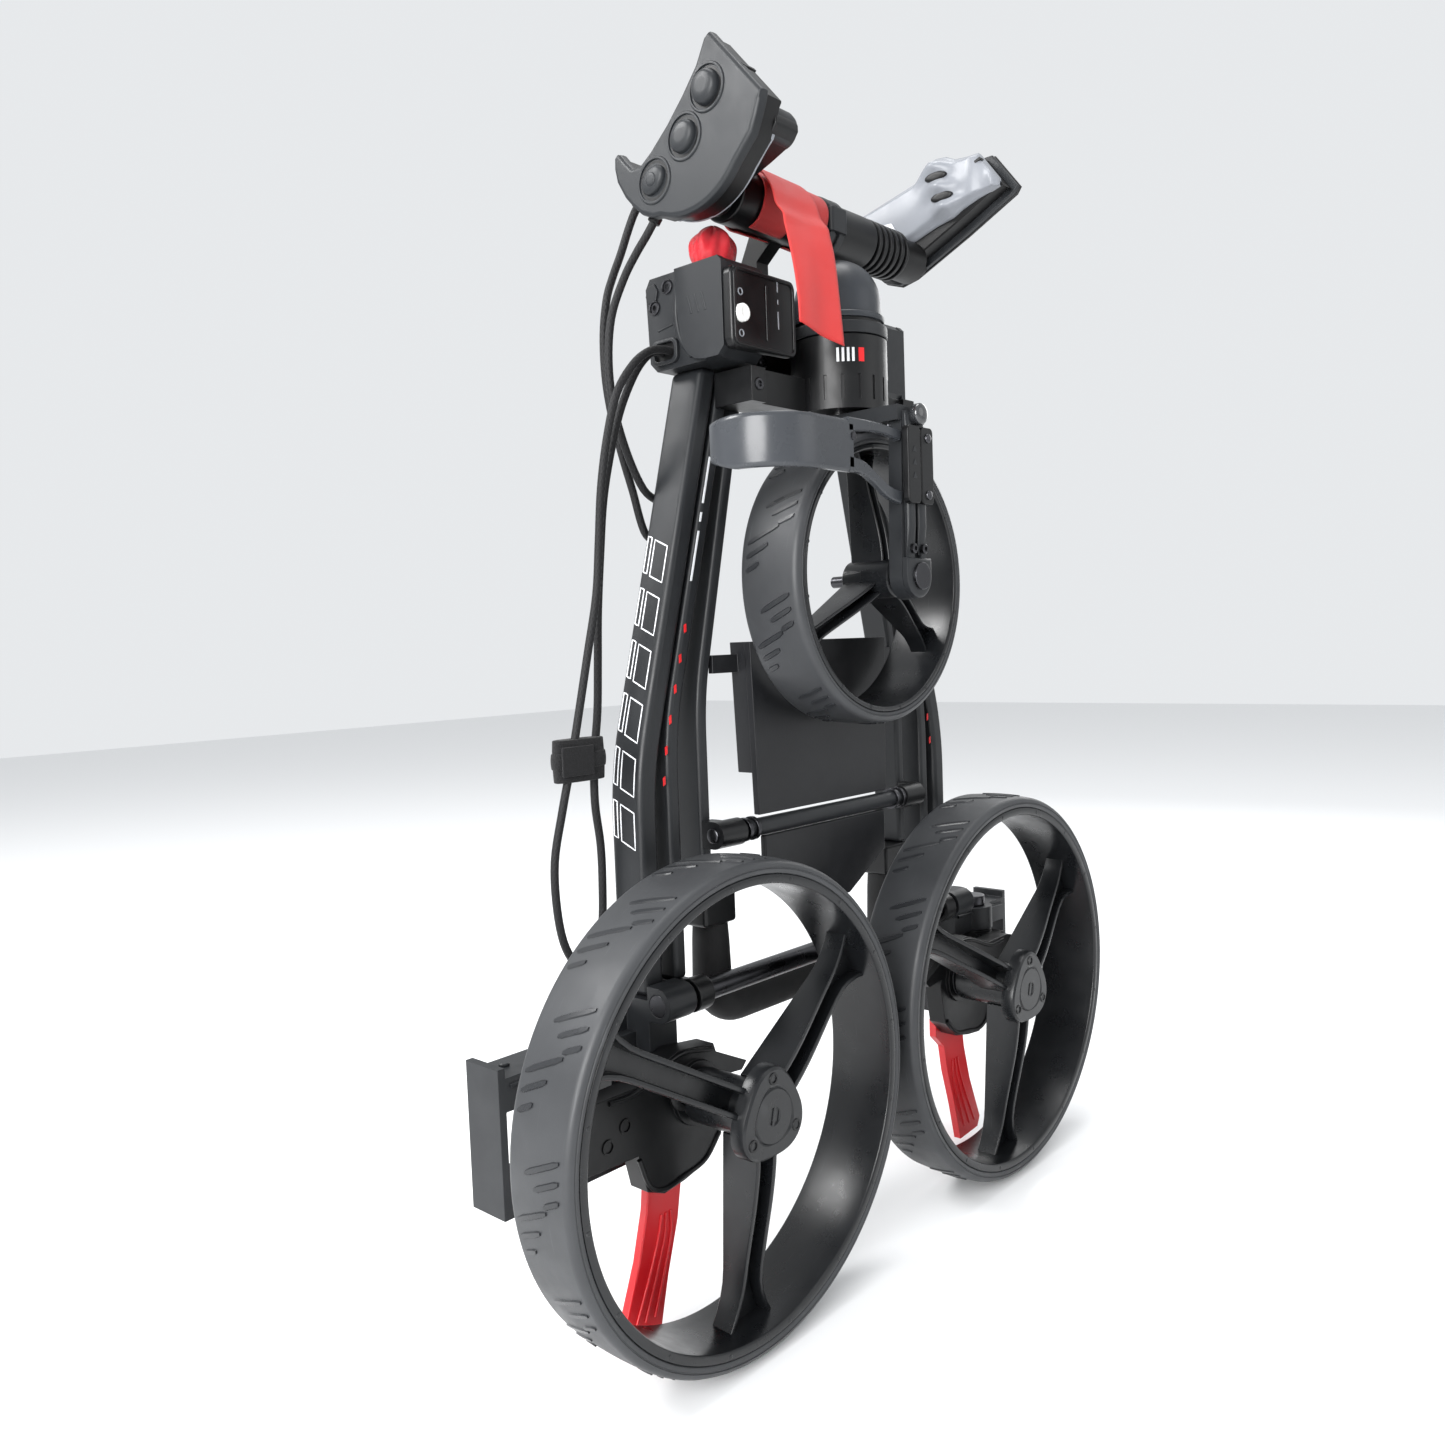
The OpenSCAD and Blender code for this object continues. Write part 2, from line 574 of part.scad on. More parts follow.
// One ring of the tube, square to the route at point i
function ring(route, i, r, sides) =
    let (along = heading(route, i),
         across = unit([0, 1, 0] - (along * [0, 1, 0]) * along),
         third = cross(along, across))
    [for (k = [0:sides - 1]) route[i] + r * (cos(360 * k / sides) * across + sin(360 * k / sides) * third)];
module tube(route, r, sides = 8) polyhedron(
    points = [for (i = [0:len(route) - 1]) each ring(route, i, r, sides)],
    faces = concat(
        [[for (k = [0:sides - 1]) k]],
        [for (i = [0:len(route) - 2], k = [0:sides - 1])
            [i * sides + k, (i + 1) * sides + k, (i + 1) * sides + (k + 1) % sides,
             i * sides + (k + 1) % sides]],
        [[for (k = [sides - 1:-1:0]) (len(route) - 1) * sides + k]]));
module strap_cord() color(black) tube(strap_route, cord_r);
module wing_cord() color(black) tube(wing_route, cord_r);
module cord_tie() color(black) block([-220, -7, -294], [-176, 10, -266]);

outer_beam_left();
outer_beam_right();
side_block_left();
side_block_right();
hub_frame();
hanging_bar();
latch_plate();
latch_bolt();
bracket_barrel();
hinge_tube();
axle_bracket_left();
axle_bracket_right();
arm_pin_left();
arm_pin_right();
handle_pins();
block_screws();
red_band();
red_loop();
hang_tag();
strap_cord();
wing_cord();
cord_tie();
middle_beam_left();
middle_beam_right();
arm_knuckles();
arm_bridge();
swivel_drum();
drum_cap();
fork();
swivel_spindle();
fork_clamp();
clamp_knob();
cradle_hoop();
front_axle();
front_tyre();
front_rim();
inner_beam_left();
inner_beam_right();
handle_barrels();
handle_grip();
grip_collars();
cross_rod();
rod_bushes();
console_panel();
console_bracket();
wheel_arm_left();
wheel_arm_right();
rear_axle_left();
rear_axle_right();
lever_left();
lever_right();
rear_tyre_left();
rear_tyre_right();
rear_rim_left();
rear_rim_right();
wing_left();
wing_right();
wing_pads_left();
wing_pads_right();
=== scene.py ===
"""Looks of a folded golf push cart, hanging by the bar at its top. X is across, -Y its front, Z up."""

import json
import math

import bmesh
import bpy
from mathutils import Matrix, Vector


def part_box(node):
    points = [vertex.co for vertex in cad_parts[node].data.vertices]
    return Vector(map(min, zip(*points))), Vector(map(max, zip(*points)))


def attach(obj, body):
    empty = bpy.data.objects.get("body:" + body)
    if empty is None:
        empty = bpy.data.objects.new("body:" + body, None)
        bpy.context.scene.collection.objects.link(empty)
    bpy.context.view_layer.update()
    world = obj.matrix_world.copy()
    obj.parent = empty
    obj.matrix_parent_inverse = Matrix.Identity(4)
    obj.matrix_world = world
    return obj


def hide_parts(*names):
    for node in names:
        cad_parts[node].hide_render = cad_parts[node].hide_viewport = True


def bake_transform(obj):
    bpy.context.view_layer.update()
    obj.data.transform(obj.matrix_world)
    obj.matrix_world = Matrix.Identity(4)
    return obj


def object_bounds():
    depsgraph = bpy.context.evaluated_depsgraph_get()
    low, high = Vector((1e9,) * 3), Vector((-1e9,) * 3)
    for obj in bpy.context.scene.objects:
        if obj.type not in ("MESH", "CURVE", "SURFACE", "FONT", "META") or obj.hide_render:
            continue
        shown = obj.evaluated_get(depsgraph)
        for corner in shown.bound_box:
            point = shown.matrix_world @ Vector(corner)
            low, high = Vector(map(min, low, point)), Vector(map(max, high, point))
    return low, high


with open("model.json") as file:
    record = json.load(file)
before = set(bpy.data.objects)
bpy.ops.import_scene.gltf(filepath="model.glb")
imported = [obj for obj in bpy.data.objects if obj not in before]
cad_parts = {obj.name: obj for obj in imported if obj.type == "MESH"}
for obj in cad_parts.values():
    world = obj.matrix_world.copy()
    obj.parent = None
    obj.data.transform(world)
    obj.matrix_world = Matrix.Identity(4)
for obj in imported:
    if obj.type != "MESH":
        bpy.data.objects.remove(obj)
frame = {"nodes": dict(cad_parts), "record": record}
cad_box = [list(corner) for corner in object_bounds()]

SIDES = {"left": -1, "right": 1}


def box_mm(node):
    """(low corner, high corner) of a CAD node, in millimetres."""
    low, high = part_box(node)
    return low * 1000, high * 1000


def linked(name, data):
    """A new object in the scene, made of this data."""
    obj = bpy.data.objects.new(name, data)
    bpy.context.collection.objects.link(obj)
    return obj


# ---- Camera, at the photograph's angle ----

camera_data = bpy.data.cameras.new("camera")
camera = linked("camera", camera_data)
camera_forward = Vector((0.7369, 0.6727, -0.0661)).normalized()
camera_right = camera_forward.cross(Vector((0.0738, 0.0172, 0.9971))).normalized()
camera_up = camera_right.cross(camera_forward)
camera_turn = Matrix((camera_right, camera_up, -camera_forward)).transposed().to_4x4()
camera.matrix_world = Matrix.Translation((-0.6725, -0.5517, -0.2127)) @ camera_turn
camera_data.sensor_width = 36
camera_data.lens = 29.6
camera_data.clip_start = 0.01
bpy.context.scene.camera = camera

# ---- Mesh helpers: everything is drawn in millimetres, as loops of points joined by a skin ----


def skin(bm, loops, closed=False, caps=True):
    """Joins loops of points, all with the same count, into one skin."""
    rings = [[bm.verts.new(Vector(p) / 1000) for p in loop] for loop in loops]
    count = len(rings[0])
    following = rings[1:] + rings[:1] if closed else rings[1:]
    for a, b in zip(rings, following):
        for i in range(count):
            j = (i + 1) % count
            bm.faces.new((a[i], a[j], b[j], b[i]))
    if caps and not closed:
        bm.faces.new(rings[0][::-1])
        bm.faces.new(rings[-1])


def arc(cx, cy, r, start, end, steps=8):
    """Points along a round stretch, angles in degrees."""
    turns = [math.radians(start + (end - start) * i / steps) for i in range(steps + 1)]
    return [(cx + r * math.cos(a), cy + r * math.sin(a)) for a in turns]


def around(count):
    """Angles in radians, count even steps once round."""
    return [2 * math.pi * n / count for n in range(count)]


def rounded(x0, y0, x1, y1, r, steps=5):
    """Outline of a rectangle with round corners."""
    corners = ((x1 - r, y0 + r, 270), (x1 - r, y1 - r, 0), (x0 + r, y1 - r, 90), (x0 + r, y0 + r, 180))
    return [p for cx, cy, a in corners for p in arc(cx, cy, r, a, a + 90, steps)]


def flowing(points, steps=6, closed=False):
    """A smooth line through all the points (Catmull-Rom)."""
    pts = [Vector(p) for p in points]
    ends = [pts[-1], *pts, pts[0], pts[1]] if closed else [2 * pts[0] - pts[1], *pts, 2 * pts[-1] - pts[-2]]
    line = []
    for a, b, c, d in zip(ends, ends[1:], ends[2:], ends[3:]):
        for i in range(steps):
            t = i / steps
            line.append(0.5 * (2 * b + (c - a) * t + (2 * a - 5 * b + 4 * c - d) * t**2
                               + (3 * b - a - 3 * c + d) * t**3))
    return line if closed else [*line, pts[-1]]


AXES = {"x": (0, 1, 2), "y": (1, 0, 2), "z": (2, 0, 1)}


def place(axis, along, u, v):
    """A point at height along on an axis, and at u and v on the two others."""
    point = [0, 0, 0]
    for i, value in zip(AXES[axis], (along, u, v)):
        point[i] = value
    return Vector(point)


def prism(bm, axis, outline, low, high):
    """An outline given depth along an axis."""
    skin(bm, [[place(axis, d, *p) for p in outline] for d in (low, high)])


def turned(bm, axis, centre, profile, steps=48):
    """A solid of revolution: profile is (radius, height) from one end to the other."""
    i, j, k = AXES[axis]
    loops = []
    for r, h in profile:
        ring = arc(centre[j], centre[k], max(r, 0.02), 0, 360 * (steps - 1) / steps, steps - 1)
        loops.append([place(axis, centre[i] + h, *p) for p in ring])
    skin(bm, loops)


def hoop(bm, axis, centre, profile, steps=144):
    """A ring: its closed profile of (radius, height) goes once round the axis."""
    i, j, k = AXES[axis]
    loops = []
    for a in around(steps):
        loops.append([place(axis, centre[i] + h, centre[j] + r * math.cos(a), centre[k] + r * math.sin(a))
                      for r, h in profile])
    skin(bm, loops, closed=True)


def border(bm, axis, outer, inner, base, top, inner_top):
    """A raised frame between two outlines, from its base up to a top at each outline."""
    rings = ((outer, base), (outer, top), (inner, inner_top), (inner, base))
    skin(bm, [[place(axis, d, *p) for p in outline] for outline, d in rings], closed=True)


def brick(bm, low, high, r=0.0):
    """A box, with its four upright edges rounded if r is given."""
    (x0, y0, z0), (x1, y1, z1) = low, high
    outline = rounded(x0, y0, x1, y1, r) if r else [(x0, y0), (x1, y0), (x1, y1), (x0, y1)]
    prism(bm, "z", outline, z0, z1)


def sweep(bm, path, section, up=(0, 1, 0), caps=True):
    """Carries a section of (across, up) points along a path."""
    path = [Vector(p) for p in path]
    loops = []
    for n, p in enumerate(path):
        along = (path[min(n + 1, len(path) - 1)] - path[max(n - 1, 0)]).normalized()
        lift = (Vector(up) - along * along.dot(Vector(up))).normalized()
        across = along.cross(lift)
        shape = section(n / (len(path) - 1)) if callable(section) else section
        loops.append([p + across * u + lift * v for u, v in shape])
    skin(bm, loops, caps=caps)


def circle(r, sides=12):
    """Outline of a circle round the origin."""
    return arc(0, 0, r, 0, 360 * (sides - 1) / sides, sides - 1)


def shade(obj, bevel=0.0, segments=3, angle=38):
    """Smooth shading; edges sharper than the angle stay crisp, or are rounded if bevel is given."""
    mesh = obj.data
    mesh.polygons.foreach_set("use_smooth", [True] * len(mesh.polygons))
    mesh.set_sharp_from_angle(angle=math.radians(angle))
    if bevel:
        rounding = obj.modifiers.new("edges", "BEVEL")
        rounding.width = bevel / 1000
        rounding.segments = segments
        rounding.limit_method = "ANGLE"
        rounding.angle_limit = math.radians(angle)
        rounding.miter_outer = "MITER_ARC"
        normals = obj.modifiers.new("normals", "WEIGHTED_NORMAL")
        normals.keep_sharp = False
        if "sharp_edge" in mesh.attributes:
            mesh.attributes.remove(mesh.attributes["sharp_edge"])


def object_of(name, bm, material):
    """Turns a finished mesh into an object of one material."""
    mesh = bpy.data.meshes.new(name)
    bm.to_mesh(mesh)
    bm.free()
    mesh.materials.append(material)
    return linked(name, mesh)


def piece(name, bm, body, look, replaces=(), bevel=0.0, **shading):
    """Makes a finished object of a mesh: it rides on a CAD body and stands for CAD nodes."""
    bmesh.ops.recalc_face_normals(bm, faces=bm.faces[:])
    obj = object_of(name, bm, LOOKS[look][0])
    shade(obj, bevel, **shading)
    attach(obj, body)
    if replaces:
        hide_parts(*replaces)
    return obj


def heads(name, body, look, axis, places, profile, steps, replaces=(), **shading):
    """One piece made of the same turned head at several places."""
    bm = bmesh.new()
    for at in places:
        turned(bm, axis, Vector(at), profile, steps)
    piece(name, bm, body, look, replaces, **shading)


BODY_OF = {node: body for body, nodes in frame["record"]["behaviour"]["bodies"].items() for node in nodes}


def refined(node, look, bevel, **shading):
    """A CAD node's own shape, with its seams joined and its edges rounded."""
    bm = bmesh.new()
    bm.from_mesh(frame["nodes"][node].data)
    bmesh.ops.remove_doubles(bm, verts=bm.verts[:], dist=1e-6)
    flat = math.radians(0.6)
    bmesh.ops.dissolve_limit(bm, angle_limit=flat, verts=bm.verts[:], edges=bm.edges[:])
    return piece(node + "_shell", bm, BODY_OF[node], look, [node], bevel, **shading)


# ---- Materials: each is a node tree with grain, blotches and wear at its own scale ----


def nodes_of(name):
    """(material, its node tree, its main shader)"""
    material = bpy.data.materials.new(name)
    material.use_nodes = True
    tree = material.node_tree
    return material, tree, tree.nodes["Principled BSDF"]


def add(tree, kind, inputs=(), **values):
    """A new node: inputs are links or constants for its first sockets, values are constants by name."""
    node = tree.nodes.new("ShaderNode" + kind)
    for key, value in values.items():
        if key in ("operation", "bands_direction"):
            setattr(node, key, value)
        else:
            node.inputs[key.replace("_", " ")].default_value = value
    for socket, value in zip(node.inputs, inputs):
        if isinstance(value, bpy.types.NodeSocket):
            tree.links.new(value, socket)
        else:
            socket.default_value = value
    return node


def maths(tree, operation, a, b):
    """The output of a sum on two links or constants."""
    return add(tree, "Math", (a, b), operation=operation).outputs[0]


def noise_at(tree, coordinates, scale, detail=4.0, roughness=0.55):
    """Noise at these coordinates."""
    noise = add(tree, "TexNoise", (coordinates,), Scale=scale, Detail=detail, Roughness=roughness)
    return noise.outputs["Fac"]


def ranged(tree, value, low, high, from_low=0.3, from_high=0.7):
    """A value's range moved to low..high."""
    return add(tree, "MapRange", (value, from_low, from_high, low, high)).outputs["Result"]


def mixed(tree, factor, a, b):
    """A blend of two colours, each a link or a constant."""
    node = tree.nodes.new("ShaderNodeMix")
    node.data_type = "RGBA"
    tree.links.new(factor, node.inputs["Factor"])
    for socket, colour in zip((node.inputs[6], node.inputs[7]), (a, b)):
        if isinstance(colour, bpy.types.NodeSocket):
            tree.links.new(colour, socket)
        else:
            socket.default_value = (*colour, 1)
    return node.outputs[2]


def finish_look(tree, shader, tone, height, strength, depth, **constants):
    """Gives a shader its tone, its relief (depth in metres) and its constants."""
    tree.links.new(tone, shader.inputs["Base Color"])
    bump = add(tree, "Bump", Strength=strength, Distance=depth)
    tree.links.new(height, bump.inputs["Height"])
    tree.links.new(bump.outputs["Normal"], shader.inputs["Normal"])
    for key, value in constants.items():
        shader.inputs[key.replace("_", " ")].default_value = value


def moulded(name, colour, roughness, grain=900.0, depth=0.00006, blotch=0.25, gloss=0.3, metallic=0.0,
            coat=0.0, scratches=0.0, stretch=(1, 1, 1)):
    """Plastic, paint, rubber or metal: grain in relief, slow blotches of colour, uneven gloss, scratches."""
    material, tree, shader = nodes_of(name)
    coordinates = add(tree, "TexCoord").outputs["Object"]
    stretched = add(tree, "Mapping", (coordinates,), Scale=stretch).outputs["Vector"]
    slow = noise_at(tree, coordinates, 14.0, 5.0)
    lighter = [c * (1 + blotch) + 0.004 * blotch for c in colour]
    darker = [c * (1 - blotch) for c in colour]
    tone = mixed(tree, ranged(tree, slow, 0, 1), darker, lighter)
    if scratches:
        lines = add(tree, "Mapping", (coordinates,), Scale=(40, 900, 30), Rotation=(0.4, 0.2, 0.9))
        marks = noise_at(tree, lines.outputs["Vector"], 1.0, 2.0)
        worn = [c * 3 + 0.03 for c in colour]
        tone = mixed(tree, ranged(tree, marks, 0, scratches, 0.68, 0.74), tone, worn)
    shiny = noise_at(tree, coordinates, 55.0, 4.0)
    tree.links.new(ranged(tree, shiny, roughness - 0.06, roughness + 0.07), shader.inputs["Roughness"])
    finish_look(tree, shader, tone, noise_at(tree, stretched, grain, 3.0, 0.6), 0.6, depth, Metallic=metallic,
                Specular_IOR_Level=gloss, Coat_Weight=coat, Coat_Roughness=0.25)
    return material


def woven(name, colour, thread, roughness=0.55, painted_sheen=0.12):
    """Cloth: two crossed sets of threads in relief and in tone, over its own width and length in metres; slow
    patches are lightened as painted sheen.
    """
    material, tree, shader = nodes_of(name)
    coordinates = add(tree, "TexCoord").outputs["UV"]
    waves = [add(tree, "TexWave", (coordinates,), Scale=1 / thread, Distortion=0.3, bands_direction=way)
             for way in ("X", "Y")]
    weave = maths(tree, "MULTIPLY", *[wave.outputs["Fac"] for wave in waves])
    base = mixed(tree, weave, [c * 0.72 for c in colour], [min(c * 1.12, 1) for c in colour])
    # Slow noise that lightens the colour in patches, as painted sheen; it also varies the roughness
    fold = noise_at(tree, add(tree, "TexCoord").outputs["Object"], 45.0, 4.0)
    tone = mixed(tree, ranged(tree, fold, 0, painted_sheen, 0.45, 0.75), base, [min(c + 0.22, 1) for c in colour])
    tree.links.new(ranged(tree, fold, roughness - 0.08, roughness + 0.08), shader.inputs["Roughness"])
    finish_look(tree, shader, tone, weave, 0.55, 0.00025, Sheen_Weight=0.06, Sheen_Roughness=0.4)
    return material


def braided(name, colour, turns=7, pitch=0.0042):
    """Braided sleeve of an elastic cord: two helices of yarn that cross. U goes round, V along in metres."""
    material, tree, shader = nodes_of(name)
    split = add(tree, "SeparateXYZ", (add(tree, "TexCoord").outputs["UV"],))
    rounds = maths(tree, "MULTIPLY", split.outputs["X"], turns)
    steps = maths(tree, "MULTIPLY", split.outputs["Y"], 1 / pitch)
    strands = [maths(tree, "PINGPONG", maths(tree, way, rounds, steps), 0.5) for way in ("ADD", "SUBTRACT")]
    yarn = maths(tree, "MAXIMUM", *strands)
    tone = mixed(tree, ranged(tree, yarn, 0, 1, 0.15, 0.5), [c * 0.4 for c in colour], colour)
    finish_look(tree, shader, tone, yarn, 0.8, 0.0004, Roughness=0.6, Specular_IOR_Level=0.25,
                Sheen_Weight=0.04)
    return material


def hooked(name, colour):
    """Hook-and-loop tape: a dense field of tiny loops."""
    material, tree, shader = nodes_of(name)
    coordinates = add(tree, "TexCoord").outputs["Object"]
    cells = add(tree, "TexVoronoi", (coordinates,), Scale=1300.0).outputs["Distance"]
    tone = mixed(tree, ranged(tree, cells, 0, 1, 0.1, 0.7), [c * 2.2 for c in colour], colour)
    finish_look(tree, shader, tone, cells, 0.9, 0.0004, Roughness=0.8, Specular_IOR_Level=0.2,
                Sheen_Weight=0.08)
    return material


# Look: (material, the record's slot)
LOOKS = {
    "coated_beam": (moulded("coated_beam", (0.010, 0.011, 0.0125), 0.42, 2200, 0.00003, 0.12, coat=0.04,
                            scratches=0.12), "beam_paint"),
    "black": (moulded("black_moulding", (0.003, 0.0032, 0.0037), 0.36, 1500, 0.00005, 0.2), "black_plastic"),
    "dark_grey": (moulded("grey_moulding", (0.013, 0.0142, 0.016), 0.42, 1500, 0.00005, 0.15),
                  "black_plastic"),
    "dome": (moulded("dome_moulding", (0.026, 0.029, 0.034), 0.36, 1500, 0.00003, 0.12), "grey_plastic"),
    "hoop": (moulded("hoop_moulding", (0.034, 0.037, 0.042), 0.27, 1600, 0.00003, 0.12, coat=0.2),
             "grey_plastic"),
    "satin_grey": (moulded("satin_grey", (0.19, 0.2, 0.22), 0.34, 1600, 0.00003, 0.1, coat=0.1),
                   "grey_plastic"),
    "panel": (moulded("panel_moulding", (0.008, 0.0083, 0.0095), 0.36, 700, 0.0001, 0.2), "grey_plastic"),
    "rim": (moulded("rim_moulding", (0.006, 0.0066, 0.0076), 0.3, 1400, 0.00004, 0.18, coat=0.15,
                    scratches=0.2), "wheel_plastic"),
    "tyre": (moulded("tyre_rubber", (0.030, 0.0315, 0.034), 0.46, 1100, 0.00008, 0.2, gloss=0.35,
                     scratches=0.15), "tyre"),
    # Tread bars: the tyre's own rubber, coloured darker as painted shade on their relief
    "mark": (moulded("tread_bar_painted_shade", (0.017, 0.018, 0.020), 0.3, 1500, 0.00004, 0.15), "tyre"),
    "foam": (moulded("grip_foam", (0.010, 0.010, 0.0105), 0.72, 1600, 0.0004, 0.3), "foam"),
    "pad": (moulded("wing_rubber", (0.013, 0.0145, 0.0165), 0.42, 1700, 0.00004, 0.15), "pad_rubber"),
    "rim_rubber": (moulded("edge_rubber", (0.003, 0.003, 0.0033), 0.42, 1700, 0.00004, 0.2), "black_plastic"),
    "steel": (moulded("brushed_metal", (0.42, 0.42, 0.43), 0.32, 60, 0.00004, 0.12, metallic=1.0,
                      stretch=(1, 30, 30)), "steel"),
    "dark_steel": (moulded("black_screw", (0.06, 0.06, 0.065), 0.3, 900, 0.00003, 0.2, metallic=1.0),
                   "steel"),
    "white": (moulded("white_bolt", (0.80, 0.80, 0.78), 0.3, 900, 0.00003, 0.06), "white_bolt"),
    "plate": (moulded("pale_plate", (0.62, 0.63, 0.66), 0.35, 900, 0.00003, 0.08), "steel"),
    "gloss": (moulded("gloss_knob", (0.02, 0.021, 0.023), 0.16, 1500, 0.00002, 0.15, gloss=0.7, coat=0.4),
              "grey_plastic"),
    "lever": (moulded("lever_red", (0.62, 0.008, 0.014), 0.34, 900, 0.00004, 0.12, gloss=0.6), "red_plastic"),
    "ribbon": (woven("ribbon_weave", (0.50, 0.013, 0.012), 0.0011, painted_sheen=0.05), "red_fabric"),
    "tag": (woven("tag_weave", (0.62, 0.019, 0.016), 0.0009, roughness=0.5, painted_sheen=0.06), "red_fabric"),
    "satin": (woven("loop_satin", (0.62, 0.010, 0.022), 0.0016, roughness=0.3), "red_fabric"),
    "cord": (braided("cord_braid", (0.008, 0.008, 0.009)), "cord"),
    "hook_tape": (hooked("tie_tape", (0.006, 0.006, 0.0065)), "cord"),
    "white_line": (moulded("white_print", (0.62, 0.63, 0.65), 0.4, 900, 0.00002, 0.1), "beam_paint"),
    "red_line": (moulded("red_print", (0.55, 0.012, 0.015), 0.4, 900, 0.00002, 0.1), "beam_paint"),
}

# ---- Elastic cords, on the routes that their CAD solids have ----

CORD_R = 2.6
STRAP_ROUTE = [
    (-113, -9, -24), (-122, -9, -24), (-134, -9, -27), (-148, -9, -37), (-162, -8, -56),
    (-171, -7, -84), (-176, -5, -115), (-178, -3, -148), (-181, -2, -180), (-189, -1, -215),
    (-198, -1, -250), (-206, -1, -280), (-214, 0, -310), (-220, 2, -340), (-219, 3, -370),
    (-213, 4, -394), (-201, 5, -409), (-189, 5, -405), (-182, 5, -386), (-181, 4, -360),
    (-182, 3, -335), (-186, 2, -308), (-184, 3, -280), (-178, 5, -252), (-175, 6, -222),
    (-173, 6, -190), (-170, 5, -155), (-167, 3, -120), (-161, 0, -88), (-152, -1, -62),
    (-140, -2, -40), (-129, -2, -28), (-121, -2, -24), (-113, -2, -24)]
WING_ROUTE = [
    (-128, 1, 67), (-128, 6, 62), (-130, 10, 52), (-134, 13, 38), (-140, 15, 23), (-146, 15, 8),
    (-149, 16, -14), (-149, 16, -40), (-146, 15, -64), (-139, 14, -90), (-131, 14, -112),
    (-126, 13, -131), (-122, 12, -140), (-114, 12, -143), (-106, 11, -140), (-102, 10, -131),
    (-106, 9, -122), (-114, 8, -118), (-128, 7, -111), (-141, 7, -90), (-151, 7, -62),
    (-154, 7, -34), (-151, 6, -6), (-143, 2, 18), (-136, -3, 34), (-131, -8, 45), (-128, -13, 54)]


def tube(name, route, r, sides=14):
    """A round cord along a route; its UVs give turns round it and metres along it.

    Returns (object, path in metres, length in metres).
    """
    path = flowing(route, 5)
    bm = bmesh.new()
    uv = bm.loops.layers.uv.new("UVMap")
    lift = Vector((0, 1, 0))
    rings, lengths = [], [0.0]
    for n, p in enumerate(path):
        along = (path[min(n + 1, len(path) - 1)] - path[max(n - 1, 0)]).normalized()
        lift = (lift - along * along.dot(lift)).normalized()
        across = along.cross(lift)
        rings.append([bm.verts.new((p + across * u + lift * v) / 1000) for u, v in circle(r, sides)])
        if n:
            lengths.append(lengths[-1] + (p - path[n - 1]).length / 1000)
    for n, (a, b) in enumerate(zip(rings, rings[1:])):
        for i in range(sides):
            j = (i + 1) % sides
            face = bm.faces.new((a[i], a[j], b[j], b[i]))
            spots = ((i, n), (i + 1, n), (i + 1, n + 1), (i, n + 1))
            for loop, (turn_no, ring_no) in zip(face.loops, spots):
                loop[uv].uv = (turn_no / sides, lengths[ring_no])
    bm.faces.new(rings[0][::-1])
    bm.faces.new(rings[-1])
    bmesh.ops.recalc_face_normals(bm, faces=bm.faces[:])
    obj = object_of(name, bm, LOOKS["cord"][0])
    obj.data.polygons.foreach_set("use_smooth", [True] * len(obj.data.polygons))
    return obj, [p / 1000 for p in path], lengths[-1]


def tie():
    """Hook-and-loop tape wrapped round both strands of the strap, with its free end lying over."""
    low, high = box_mm("cord_tie")
    middle, bm = (low + high) / 2, bmesh.new()
    wide, deep = (high.x - low.x) / 2 - 1, (high.y - low.y) / 2 - 0.5
    for z0, z1, grow in ((low.z + 1, high.z - 1, 0.0), (low.z + 9, high.z - 9, 1.0)):
        loops = []
        for k in range(9):
            z = z0 + (z1 - z0) * k / 8
            swell = grow + 0.5 * math.sin(math.pi * k / 8)
            ring = []
            for a in around(40):
                across = math.copysign(abs(math.cos(a)) ** 0.7, math.cos(a))
                along = math.copysign(abs(math.sin(a)) ** 0.8, math.sin(a))
                ring.append((middle.x + (wide - 2 + swell) * across,
                             middle.y + (deep - 2 + swell) * along, z))
            loops.append(ring)
        skin(bm, loops)
    brick(bm, (low.x + 3, low.y + 0.5, low.z + 5), (middle.x + 6, low.y + 2.2, high.z - 5))
    return piece("strap_tie", bm, "frame", "hook_tape", ["cord_tie"], bevel=0.8)


def cord_sockets():
    """Short collars under the left wing that the wing cord's two ends go up into."""
    bm = bmesh.new()
    for end, inside in ((WING_ROUTE[0], WING_ROUTE[1]), (WING_ROUTE[-1], WING_ROUTE[-2])):
        away = (Vector(end) - Vector(inside)).normalized()
        path = [Vector(end) + away * d for d in (-2.2, -1.6, 2.5)]
        sweep(bm, path, lambda t: circle(3.4 if t == 0 else 4.2, 20), up=(1, 0, 0))
    piece("cord_sockets", bm, "wing_left", "rim_rubber", angle=50)


strap, strap_path, strap_length = tube("strap_cord_line", STRAP_ROUTE, CORD_R)
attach(strap, "frame")
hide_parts("strap_cord")
tie()
cord_sockets()
wing_line, wing_path, wing_length = tube("wing_cord_line", WING_ROUTE, CORD_R)
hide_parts("wing_cord")
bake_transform(wing_line)

# ---- Wheels ----


def wheel_centre(node):
    """(middle, radius, width) of a wheel's node."""
    low, high = box_mm(node)
    return (low + high) / 2, (high.x - low.x) / 2, high.y - low.y


def crown(r, width, y):
    """Radius of a tread at a distance from its front face."""
    return r - 0.9 * ((y - width / 2) / (width / 2 - 5)) ** 2


